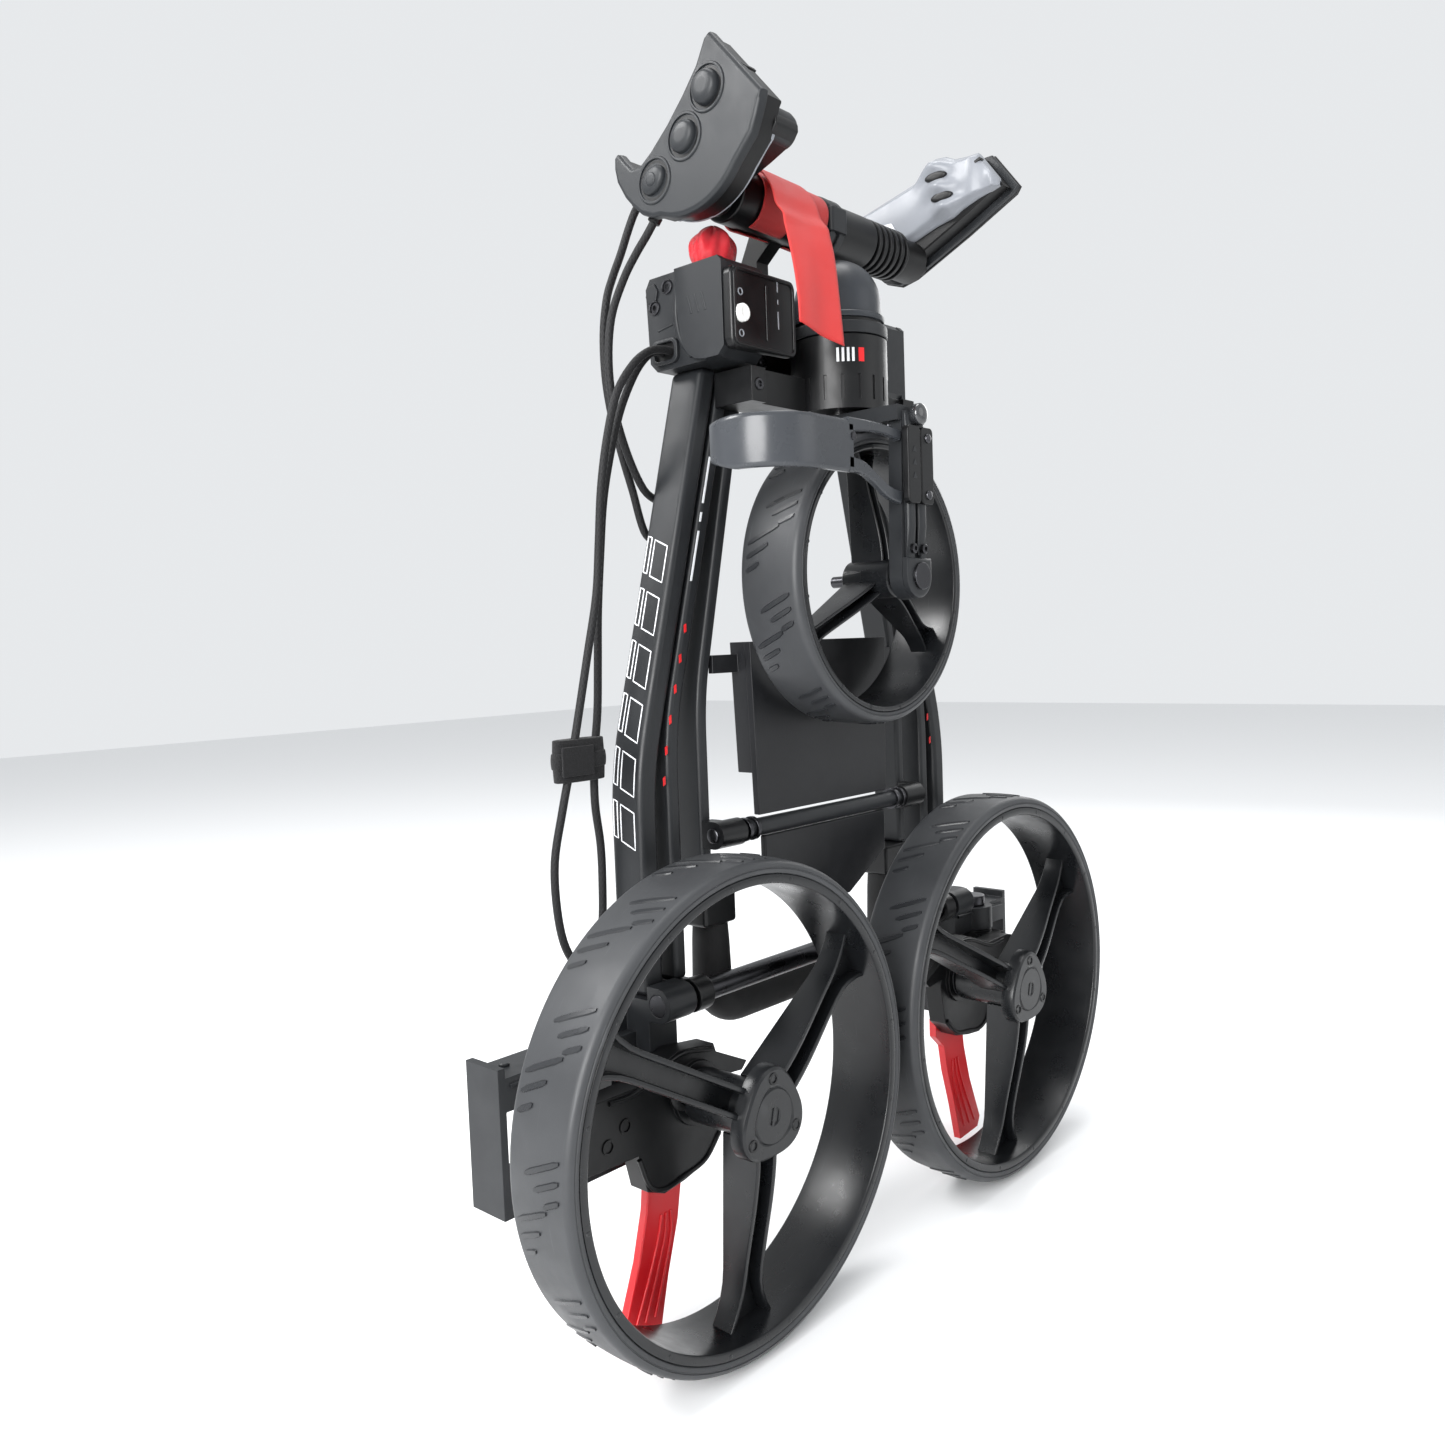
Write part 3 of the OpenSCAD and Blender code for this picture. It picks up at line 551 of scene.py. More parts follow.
def tread_bar(bm, centre, r, width, row, middle, offset, reach):
    """A slanted bar in relief, from near one edge of the tread inwards, narrower at both ends."""
    front = centre.y - width / 2
    way = 1 if row else -1
    edge, proud, sunk, last = 7.0, 0.85, 0.8, 6
    loops = []
    for n in range(last + 1):
        along = reach * n / last
        a = middle + (offset + 0.42 * along * way) / r
        y = edge + along if row else width - edge - along
        surface = crown(r, width, y)
        half = 1.7 / r * (0.55 if n in (0, last) else 1)
        ring = ((surface - sunk, a - 1.5 * half), (surface + proud, a - 0.8 * half),
                (surface + proud, a + 0.8 * half), (surface - sunk, a + 1.5 * half))
        loops.append([(centre.x + q * math.cos(b), front + y, centre.z + q * math.sin(b)) for q, b in ring])
    skin(bm, loops)


def tyre(name, node, wall, groups, mark_size):
    """Smooth crowned tread with round shoulders and two rows of slanted bars, in groups of three; the bars
    are the tread's own rubber, coloured darker as painted shade.

    wall is the rubber's depth, and mark_size is (spread round the tread, reach across it) of a group.
    """
    centre, r, width = wheel_centre(node)
    shoulder = 5
    across = [shoulder + (width - 2 * shoulder) * k / 8 for k in range(9)]
    half = [(r - wall, 0.9), (r - wall + 0.8, 0.1), (r - shoulder - 1.2, 0), (r - shoulder - 0.8, 0.5),
            (r - shoulder - 0.3, 0.5), (r - shoulder, 0)]
    corner = [(x - 0.9, y) for x, y in arc(r - shoulder, shoulder, shoulder, 285, 352, 5)]
    profile = half + corner + [(crown(r, width, y), y) for y in across]
    profile += [(x, width - y) for x, y in (half + corner)[::-1]]
    bm = bmesh.new()
    hoop(bm, "y", (centre.x, centre.y - width / 2, centre.z), profile, 160)
    piece(name, bm, BODY_OF[node], "tyre", [node], angle=50)
    bars = bmesh.new()
    spread, reach = mark_size
    for k in range(groups * 2):
        for step, share in ((-1, 1.0), (0, 0.72), (1, 0.44)):
            tread_bar(bars, centre, r, width, k % 2, math.pi * k / groups + 0.2, step * 0.30 * spread,
                      reach * share)
    piece(name + "_marks", bars, BODY_OF[node], "mark", angle=25)


def spoke_ribs(bm, centre, turn_by, r_hub, r_rim, hub_y, rim_y, gap, flare, thick):
    """A spoke: two ribs with a web sunk between them, spreading into the rim at their far end."""
    rot = Matrix.Rotation(-turn_by, 3, "Y")
    steps = 14

    def rib_place(t):
        r = r_hub + (r_rim - r_hub) * t
        spread = gap / 2 + flare * max(0.0, (t - 0.72) / 0.28) ** 2
        ease = t * t * (3 - 2 * t)
        return r, spread, hub_y[0] + (rim_y[0] - hub_y[0]) * ease, hub_y[1] + (rim_y[1] - hub_y[1]) * t

    for side in (-1, 1):
        loops = []
        for n in range(steps + 1):
            r, spread, y0, y1 = rib_place(n / steps)
            h, c = thick / 2, 0.8
            x = side * spread
            section = [(x - h, y0 + c), (x - h + c, y0), (x + h - c, y0), (x + h, y0 + c),
                       (x + h, y1 - c), (x + h - c, y1), (x - h + c, y1), (x - h, y1 - c)]
            loops.append([centre + rot @ Vector((u, v, r)) for u, v in section])
        skin(bm, loops)
    loops = []
    for n in range(steps + 1):
        r, spread, y0, y1 = rib_place(n / steps)
        middle = y0 + (y1 - y0) * 0.62
        low, high = middle - 1.4, middle + 1.4
        section = [(-spread, low), (spread, low), (spread, high), (-spread, high)]
        loops.append([centre + rot @ Vector((u, v, r)) for u, v in section])
    skin(bm, loops)


def rim(name, node, axle_r, spoke, hub_r, hub_ends, lobes):
    """Rim barrel with a flat face, three twin-rib spokes and a hub."""
    _, r, _ = wheel_centre(node)
    centre, _, width = wheel_centre(node.replace("rim", "tyre"))
    face = Vector((centre.x, centre.y - width / 2, centre.z))
    inner = spoke["rim"] - 1
    bm = bmesh.new()
    lip = [(r, 1.2), (r - 0.6, 0.2), (r - 2.2, 0.0), (inner + 1.6, 0.0), (inner + 0.5, 0.5), (inner, 1.6)]
    barrel = [(inner - 0.8 * math.sin(math.pi * k / 6), 1.6 + (width - 3.2) * k / 6) for k in range(1, 6)]
    profile = lip + barrel + [(x, width - y) for x, y in lip[::-1]]
    hoop(bm, "y", face, profile, 160)
    for k in range(3):
        spoke_ribs(bm, face, math.radians(spoke["turn"] + 120 * k), hub_r - 2, spoke["rim"], spoke["hub_y"],
                   spoke["rim_y"], spoke["gap"], spoke["flare"], spoke["thick"])
    for k in range(16):
        a = math.radians(22.5 * k + 8)
        at = face + Vector((math.cos(a), 0, math.sin(a))) * (inner + r) / 2
        turned(bm, "y", at, [(1.5, -0.35), (1.5, 0.6)], 10)
    piece(name, bm, BODY_OF[node], "rim", [node], bevel=0.5, segments=2, angle=50)
    hub = bmesh.new()
    y0, y1 = hub_ends
    hoop(hub, "y", face, [(axle_r, y0 + 0.6), (axle_r + 0.6, y0), (hub_r - 1.2, y0), (hub_r, y0 + 1.2),
                          (hub_r, y1 - 1.2), (hub_r - 1.2, y1), (axle_r + 0.6, y1), (axle_r, y1 - 0.6)], 56)
    piece(name + "_hub", hub, BODY_OF[node], "rim", angle=40)
    if lobes:
        hub_cap(name + "_cap", face, y0, BODY_OF[node], spoke["turn"])


def hub_cap(name, face, y0, body, turn_by):
    """Three-lobed cap with a sunk screw in each lobe and three slanted bars in relief."""
    bm = bmesh.new()
    rise = ((29.5, 10), (29.5, 4), (28.6, 1.2), (27, 0), (19, 0), (17.5, 0.9), (0.2, 0.9))
    loops = []
    for r, h in rise:
        ring = []
        for a in around(72):
            lobe = 1 + 0.09 * math.cos(3 * (a - math.radians(90 - turn_by) - math.pi / 3)) * min(r / 27, 1)
            ring.append(face + Vector((r * 0.93 * lobe * math.cos(a), y0 + h, r * 0.93 * lobe * math.sin(a))))
        loops.append(ring)
    skin(bm, loops)
    piece(name, bm, body, "rim", angle=30)
    screws = bmesh.new()
    for k in range(3):
        a = math.radians(90 - turn_by + 60 + 120 * k)
        at = face + Vector((22.5 * math.cos(a), y0, 22.5 * math.sin(a)))
        hoop(screws, "y", at, [(2.4, -0.6), (3.6, -0.6), (3.9, 0.6), (2.4, 0.6)], 20)
        turned(screws, "y", at, [(2.5, 0.4), (2.5, 2)], 16)
    piece(name + "_screws", screws, body, "black", angle=30)
    marks = bmesh.new()
    for k, tall in enumerate((5, 9, 5)):
        x, lean = (k - 1) * 5.5, tall * 0.25
        slant = [(x - 1.1 - lean, -tall), (x + 1.1 - lean, -tall), (x + 1.1 + lean, tall),
                 (x - 1.1 + lean, tall)]
        prism(marks, "y", [(face.x + u, face.z + v) for u, v in slant], face.y + y0 + 0.2, face.y + y0 + 2)
    piece(name + "_marks", marks, body, "rim", bevel=0.25)


# rim: radius where a spoke meets the rim. turn: degrees from straight up to the first spoke. hub_y, rim_y:
# its front and back at either end. gap: distance between its ribs. flare: how far each spreads at the rim.
REAR_SPOKE = {"rim": 136, "turn": 180, "hub_y": (-4, 24), "rim_y": (14, 30), "gap": 15, "flare": 11,
              "thick": 3.6}
FRONT_SPOKE = {"rim": 87, "turn": 0, "hub_y": (0, 26), "rim_y": (14, 28), "gap": 8, "flare": 6, "thick": 2.2}
for side in SIDES:
    tyre("rear_tread_" + side, "rear_tyre_" + side, 9, 12, (34, 26))
    rim("rear_wheel_body_" + side, "rear_rim_" + side, 5.06, REAR_SPOKE, 17, (-10, 48), True)
tyre("front_tread", "front_tyre", 8, 9, (30, 24))
rim("front_wheel_body", "front_rim", 4.06, FRONT_SPOKE, 13, (-9, 29), False)

# ---- Beams: extrusions with round edges; slanted outlines and dashes stand in for the printing ----

OUTER = {"x": 174.0, "bend": -290.0, "lean": 15.4, "radius": 220.0}


def outer_face(z):
    """(X of the outer beam's outer face, its lean) at a height."""
    lean = math.radians(OUTER["lean"])
    tangent = OUTER["radius"] * math.tan(lean / 2)
    start = OUTER["bend"] - tangent
    if z <= start:
        return OUTER["x"], 0.0
    sine = (z - start) / OUTER["radius"]
    if sine < math.sin(lean):
        a = math.asin(sine)
        return OUTER["x"] - OUTER["radius"] * (1 - math.cos(a)), a
    return OUTER["x"] - (z - OUTER["bend"]) * math.tan(lean), lean


def print_on_beam(name, side, strokes, look, wide):
    """Thin strokes on the outer beam's outer face, each a list of (y, z) points."""
    bm = bmesh.new()
    for stroke in strokes:
        closed = stroke[0] == stroke[-1]
        fine = []
        for a, b in zip(stroke, stroke[1:]):
            count = max(2, int(math.dist(a, b) / 5))
            step_y, step_z = b[0] - a[0], b[1] - a[1]
            fine += [(a[0] + step_y * i / count, a[1] + step_z * i / count) for i in range(count)]
        if not closed:
            fine.append(stroke[-1])
        loops = []
        for n, (y, z) in enumerate(fine):
            before = fine[n - 1] if (n or closed) else fine[0]
            after = fine[(n + 1) % len(fine)] if (closed or n < len(fine) - 1) else fine[-1]
            d = Vector((after[0] - before[0], after[1] - before[1])).normalized()
            normal = Vector((-d.y, d.x)) * wide / 2
            ring = []
            for way, out in ((-1, -0.2), (-1, 0.14), (1, 0.14), (1, -0.2)):
                py, pz = y + normal.x * way, z + normal.y * way
                ring.append((side * (outer_face(pz)[0] + out), py, pz))
            loops.append(ring)
        skin(bm, loops, closed=closed)
    piece(name, bm, "frame", look, angle=30)


def beams():
    """Six beams; outlines on the outer ones, and dashes and a line on the middle ones, stand in for print."""
    for side, s in SIDES.items():
        for level in ("outer", "middle", "inner"):
            edge = 4.0 if level == "outer" else 3.2
            refined(f"{level}_beam_{side}", "coated_beam", edge, segments=4, angle=30)
        outlines = []
        print_low, print_pitch = -338, 33
        for k in range(6):
            z0 = print_low + print_pitch * k
            outlines.append([(-20, z0), (-8, z0 + 5), (-8, z0 + 28), (-20, z0 + 23), (-20, z0)])
            outlines.append([(-5, z0 + 6.5), (-1.5, z0 + 8), (-1.5, z0 + 31), (-5, z0 + 29.5),
                             (-5, z0 + 6.5)])
        print_on_beam("outer_print_" + side, s, outlines, "white_line", 0.9)
        dashes = bmesh.new()
        for k in range(6):
            z = -300 + 19 * k
            x = s * (outer_face(z)[0] - 20.5 - 0.3 * k)
            slant = [(x - 0.9, z), (x + 0.9, z + 1), (x + 0.9, z + 6), (x - 0.9, z + 5)]
            prism(dashes, "y", slant, -26.35, -25.8)
        piece("beam_dashes_" + side, dashes, "front_arm", "red_line")
        line = bmesh.new()
        for z0, z1 in ((-172, -140), (-134, -128), (-122, -92)):
            a, b = outer_face(z0)[0] - 20, outer_face(z1)[0] - 20
            stripe = ((a - 0.7, z0), (a + 0.7, z0), (b + 0.7, z1), (b - 0.7, z1))
            prism(line, "y", [(s * x, z) for x, z in stripe], -26.3, -25.8)
        piece("beam_line_" + side, line, "front_arm", "white_line")


beams()

# ---- Top of the cart ----


def side_blocks():
    """Side blocks: a curved ridge between cover and body, a rear notch, screws, and the cords' mouth, its
    inside filled near-black as painted shade.
    """
    for side, s in SIDES.items():
        node = "side_block_" + side
        low, high = box_mm(node)
        out = high.x if s > 0 else -low.x
        refined(node, "dark_grey", 3.0, segments=4, angle=30)
        trim = bmesh.new()
        ridge = ((2.2, -19, high.z - 2), (1.6, -18, 8), (1.6, -17.5, -6), (1.8, -21, -20),
                 (2.6, -29, low.z + 4))
        ridge = flowing([(s * (out - deep), y, z) for deep, y, z in ridge], 8)
        sweep(trim, ridge, circle(1.6, 10), up=(1, 0, 0))
        # Lip round the mouth that the cords come out of
        mouth = rounded(-17, -32, 6, -16, 5)
        inner = rounded(-14.4, -29.6, 3.4, -18.4, 3.6)
        x0, x1 = s * (out - 6), s * (out - 1.2)
        border(trim, "x", mouth, inner, x0, x1, x1 + s * 0.3)
        # Slanted bars in relief on the cover; only the left block is deep enough for them
        for k in range(3):
            y = -33 - 6 * k
            outline = [(y, -6), (y + 2, -6), (y + 5, 6), (y + 3, 6)]
            if y - 2 > low.y:
                prism(trim, "x", outline, s * (out - 1), s * (out + 0.35))
        # Raised step and hook at the upper rear corner
        step = [(2, 10), (9, 9), (11, 14), (9, 20), (3, 21), (0, 16)]
        prism(trim, "x", step, s * (out - 6), s * (out - 2.6))
        prism(trim, "x", [(-12, -8), (2, -10), (2, -8.8), (-12, -6.8)], s * (out - 5), s * (out - 3.4))
        piece(f"block_trim_{side}", trim, "frame", "dark_grey", bevel=0.5, segments=2)
        # Near-black plug sunk inside the mouth's lip: painted shade of the opening
        dark = bmesh.new()
        prism(dark, "x", inner, s * (out - 6), s * (out - 3.7))
        piece(f"block_mouth_painted_shade_{side}", dark, "frame", "rim_rubber")
        screws = bmesh.new()
        for y, z in ((-8, 17), (4, 6)):
            at = Vector((s * (out - 4), y, z))
            washer = ((3.6, 0.2), (4.6, 0.2), (4.6, 1.0), (4.1, 1.5), (3.6, 1.0))
            socket = ((4.0, 0), (4.0, 0.3), (1.7, 0.4), (1.6, -0.9), (0.1, -0.9))
            hoop(screws, "x", at, [(r, h * s) for r, h in washer], 28)
            turned(screws, "x", at, [(r, h * s) for r, h in socket], 12)
        replaced = ["block_screws"] if side == "left" else []
        piece(f"block_screws_{side}", screws, "frame", "dark_steel", replaced, angle=25)


def latch():
    """Black latch face with a raised border, a white dimpled bolt and small marks."""
    low, high = box_mm("latch_plate")
    refined("latch_plate", "black", 2.2, segments=4)
    bm = bmesh.new()
    face = low.y
    outer = rounded(low.x + 1.5, low.z + 1.5, high.x - 1.5, high.z - 1.5, 5)
    inner = rounded(low.x + 3.6, low.z + 3.6, high.x - 3.6, high.z - 3.6, 3.6)
    border(bm, "y", outer, inner, face + 0.4, face - 0.9, face - 0.9)
    brick(bm, (-86, face - 0.7, low.z + 8), (-84.4, face + 0.3, high.z - 8))
    piece("latch_border", bm, "frame", "black", bevel=0.5, segments=2)
    bolt_low, bolt_high = box_mm("latch_bolt")
    centre = (bolt_low + bolt_high) / 2
    at = Vector((centre.x, face, centre.z))
    dimpled = [(5.5, 0.3), (5.5, -2.6), (4.9, -3.4), (3.4, -3.6), (2.6, -3.0), (1.4, -2.7), (0.1, -2.6)]
    heads("latch_white_bolt", "frame", "white", "y", [at], dimpled, 40, ["latch_bolt"], angle=50)
    marks = bmesh.new()
    for dz in (13, -12):
        hoop(marks, "y", at + Vector((0, 0, dz)), [(1.5, 0.2), (2.4, 0.2), (2.3, -0.5), (1.7, -0.5)], 24)
    for z, tall in ((8, 7), (0.5, 3), (-6, 2), (-15, 9)):
        brick(marks, (-74.4, face - 0.3, z), (-73.4, face + 0.2, z + tall))
    piece("latch_marks", marks, "frame", "satin_grey", bevel=0.15)


def swivel():
    """Drum with flats, a banded collar, and the grey dome with its rim."""
    low, high = box_mm("swivel_drum")
    axis = Vector(((low.x + high.x) / 2, (low.y + high.y) / 2, 0))
    refined("swivel_drum", "black", 0.8)
    cap_low, cap_high = box_mm("drum_cap")
    base, top = cap_low.z, cap_high.z
    r = (cap_high.x - cap_low.x) / 2
    profile = [(r - 2, base), (r - 0.4, base + 0.2), (r, base + 1), (r, base + 3.2), (r - 0.6, base + 4),
               (r - 2.2, base + 4.4)]
    for degrees in range(0, 90, 5):
        a = math.radians(degrees)
        profile.append(((r - 2.4) * math.cos(a), base + 14 + (top - base - 14) * math.sin(a)))
    heads("dome", "front_arm", "dome", "z", [axis], profile + [(0.1, top)], 72, ["drum_cap"], angle=35)
    ring = bmesh.new()
    hoop(ring, "z", axis, [(29.8, -11), (33.6, -11), (33.6, -3), (29.8, -3)], 72)
    piece("drum_collar", ring, "front_arm", "dark_grey", bevel=0.8)
    dashes = [(a, a + 3) for a in range(214, 233, 6)]
    for name, look, spans in (("drum_dashes", "white_line", dashes), ("drum_mark", "red_line", [(240, 247)])):
        bm = bmesh.new()
        for a0, a1 in spans:
            outline = [(33.15, a0), (33.15, (a0 + a1) / 2), (33.15, a1), (32.5, a1), (32.5, a0)]
            outline = [(q * math.cos(math.radians(a)), axis.y + q * math.sin(math.radians(a)))
                       for q, a in outline]
            skin(bm, [[(x, y, z) for x, y in outline] for z in (-30, -21)])
        piece(name, bm, "front_arm", look)


def hub():
    """The frame between the side blocks, with its bolts, and the bridge of the front arm."""
    refined("hub_frame", "black", 1.6)
    refined("hanging_bar", "steel", 0.6)
    refined("handle_pins", "steel", 0.4)
    refined("arm_bridge", "black", 1.6)
    heads("hub_bolts", "frame", "dark_steel", "y", [(x, -23, z) for x in (-40, 40) for z in (-22, 17)],
          [(4, 0.2), (4, -1.4), (3.4, -2), (2, -2), (1.9, -0.8), (0.1, -0.8)], 24, angle=30)
    low, high = box_mm("arm_bridge")
    heads("bridge_screws", "front_arm", "dark_steel", "y", [(x, -58, -49) for x in (low.x + 7, high.x - 7)],
          [(4, 0.4), (4, -0.5), (3.5, -0.9), (2, -0.9), (1.9, 0), (0.1, 0)], 24, angle=30)


side_blocks()
latch()
swivel()
hub()

# ---- Barrel and bag wings ----

HINGE = Vector((0, -40, 72))
WING_SHIFT = Vector((0, 25, 14))
WING_SCALE = 0.93
WING_TILT = {"left": 31, "right": 0}
BUTTONS = {"left": ((72, 5), (44, -4), (12, -6)), "right": ((73, 26), (43, 12), (11, 4))}
RIGHT_OUTLINE = [
    (-27, 6), (-19, -8), (-7, -19), (7, -24), (21, -21), (67, 0), (107, 20), (110, 24), (90, 51),
    (81, 51), (69, 52), (61, 56), (52, 57), (44, 53), (35, 44), (20, 41), (-15, 33), (-25, 26)]
RIGHT_PAD = [
    (-22, 5), (-4, -3), (22, -3), (51, 6), (66, 9), (74, 13), (86, 17), (105, 22), (104, 27), (88, 49),
    (80, 49), (69, 50), (61, 54), (52, 55), (44, 51), (35, 42.5), (20, 39), (-14, 31), (-22, 24)]


def wing_point(side, u, v, x):
    """A point of a wing: u runs towards its tip, v is height along it, x is the distance from the middle."""
    t = math.radians(WING_TILT[side])
    y, z = WING_SHIFT.y - u, WING_SHIFT.z + v
    turned_y, turned_z = y * math.cos(t) + z * math.sin(t), -y * math.sin(t) + z * math.cos(t)
    return Vector((SIDES[side] * x, HINGE.y + turned_y, HINGE.z + turned_z))


def wing_outline():
    """Crescent with a cut-off tip and a small upright fin at its root."""
    turns = [math.radians(a) for a in range(215, 291, 5)]
    belly = [(50 + 56 * math.cos(a), 4 + 57 * math.sin(a)) for a in turns]
    points = [(-14, 6), (-12, -4), (-9, -14), (-2, -24), *belly, (88, -45.5), (97, -39.5), (104, -34),
              (108, -30), (98, 32), (92, 33), (78, 25), (60, 19.5), (40, 15), (20, 12.5), (8, 12.5),
              (2.5, 16), (0.5, 24), (-1, 33), (-3, 35.5), (-7, 35), (-11, 29), (-14, 20)]
    return [(u * WING_SCALE, v * WING_SCALE) for u, v in points]


def wing_loops(side, outline, stations):
    """Copies of an outline across the wing's thickness, one for each (x, how far it is drawn in)."""
    loops = []
    for x, inset in stations:
        ring = []
        for k, (u, v) in enumerate(outline):
            a, b = outline[k - 1], outline[(k + 1) % len(outline)]
            d = Vector((b[0] - a[0], b[1] - a[1])).normalized()
            ring.append(wing_point(side, u - d.y * inset, v + d.x * inset, x))
        loops.append(ring)
    return loops


def bump(bm, side, u, v, x, r, tall, wide=1.0, way=1, squash=1.0):
    """A round rubber button on a wing, standing out by tall; wide and squash stretch it along u and v."""
    rise = [(1.0, -0.6), (1.0, 0.0), (0.97, 0.45), (0.88, 0.8), (0.7, 0.98), (0.35, 1.0), (0.01, 1.0)]
    skin(bm, [[wing_point(side, u + r * share * wide * math.cos(a), v + r * share * squash * math.sin(a),
                          x + way * tall * height) for a in around(36)] for share, height in rise])


def ring_on(bm, side, u, v, x, r0, r1, tall):
    """A flat-topped ring on a wing, from radius r0 to r1."""
    section = ((r0, -0.5), (r0, tall), (r1 - 0.8, tall), (r1, -0.5))
    skin(bm, [[wing_point(side, u + r * math.cos(a), v + r * math.sin(a), x + h) for r, h in section]
              for a in around(44)], closed=True)


def wing(side):
    """A bag wing: a grey outer shell, a dark core set back behind it, a sleeve, and the face to the bag."""
    body = "wing_" + side
    s = SIDES[side]
    pads_low, pads_high = box_mm("wing_pads_" + side)
    inside, outside = 118, max(abs(pads_low.x), abs(pads_high.x)) - 7
    outline = wing_outline() if side == "left" else RIGHT_OUTLINE
    shell = bmesh.new()
    skin(shell, wing_loops(side, outline, [(outside - 7, 0.6), (outside - 6.4, 0), (outside - 3.6, 0),
                                           (outside - 1.4, 0.4), (outside - 0.4, 1.4), (outside, 3.0)]))
    piece("wing_shell_" + side, shell, body, "pad", [body], bevel=1.0, angle=32)
    core = bmesh.new()
    set_back = 2.0 if side == "left" else 4.5
    skin(core, wing_loops(side, outline, [(inside, set_back + 1), (inside + 1, set_back),
                                          (outside - 6.5, set_back)]))
    # Sleeve on the stub shaft
    sleeve = ((7.2, 1), (14, 1), (15, 2), (15, 26), (7.2, 26))
    hoop(core, "x", (s * 94, HINGE.y, HINGE.z), [(r, h * s) for r, h in sleeve], 48)
    piece("wing_core_" + side, core, body, "rim_rubber", angle=32)
    if side == "left":
        wing_arm(side, inside)
        tip_slot(side, inside)
    else:
        edge = bmesh.new()
        skin(edge, wing_loops(side, outline, [(outside - 2.6, 0.2), (outside - 2.2, -0.5),
                                              (outside - 0.8, -0.5), (outside - 0.4, 0.6)]))
        piece("wing_edge_" + side, edge, body, "rim_rubber", angle=32)
    wing_pads(side, outside)
    wing_inner(side, inside, outline if side == "left" else RIGHT_PAD)


def wing_arm(side, inside):
    """The arm on the bag's side, with the knob near its tip."""
    bm = bmesh.new()
    arm = [(14, -22), (20, 0), (50, -4), (84, -16), (92, -26), (86, -38), (44, -30)]
    arm = flowing([(*p, 0) for p in arm], 4, closed=True)
    skin(bm, [[wing_point(side, p.x, p.y, x) for p in arm] for x in (inside - 18, inside + 3)])
    piece("wing_arm_" + side, bm, "wing_" + side, "black", bevel=1.0, angle=32)
    knob = bmesh.new()
    profile = ((1, 11), (-16, 11), (-19.5, 10), (-21, 7), (-20, 5.4), (-19.6, 0.02))
    skin(knob, [[wing_point(side, 82 + r * math.cos(a), -27 + r * math.sin(a), inside + x)
                 for a in around(36)] for x, r in profile])
    piece("wing_knob_" + side, knob, "wing_" + side, "dark_grey", bevel=0.5, angle=35)


def tip_slot(side, inside):
    """Slot in the cut-off end of the tip, drawn as a near-black bar: painted shade."""
    bm = bmesh.new()
    ends = ((102.2, 4), (104.4, -8))
    a, b = (wing_point(side, u * WING_SCALE + 0.15, v * WING_SCALE, inside + 11) for u, v in ends)
    middle, along = (a + b) / 2, (b - a).normalized()
    out = Vector((0, along.z, -along.y))
    if (middle - wing_point(side, 50, 0, inside + 11)).dot(out) < 0:
        out = -out
    skin(bm, [[middle + out * depth + along * v + Vector((u, 0, 0)) for u, v in
               ((-6, -1.3), (-6, 1.3), (6, 1.3), (6, -1.3))] for depth in (-1.0, 0.25)])
    piece("wing_slot_painted_shade_" + side, bm, "wing_" + side, "rim_rubber", bevel=0.2)


def wing_pads(side, outside):
    """Three domed rubber buttons, each in a ring recess with a near-black floor as painted shade, getting
    flatter towards the root.
    """
    bm, rings, wells = bmesh.new(), bmesh.new(), bmesh.new()
    for k, (u, v) in enumerate(BUTTONS[side]):
        bump(bm, side, u, v, outside - 0.4, 10.2, 5.4 - 0.8 * k, squash=1.0 - 0.12 * k)
        ring_on(rings, side, u, v, outside, 12.4, 14.6, 0.9)
        # Near-black ring between each button and its raised ring: painted shade in the recess
        ring_on(wells, side, u, v, outside - 0.2, 10.3, 12.4, 0.25)
    bump(rings, side, *BUTTONS[side][2], outside + 3.2, 4.2, 0.9)
    piece("wing_buttons_" + side, bm, "wing_" + side, "pad", ["wing_pads_" + side], angle=60)
    piece("wing_rings_" + side, rings, "wing_" + side, "pad", bevel=0.3, segments=2)
    piece("wing_wells_painted_shade_" + side, wells, "wing_" + side, "rim_rubber")


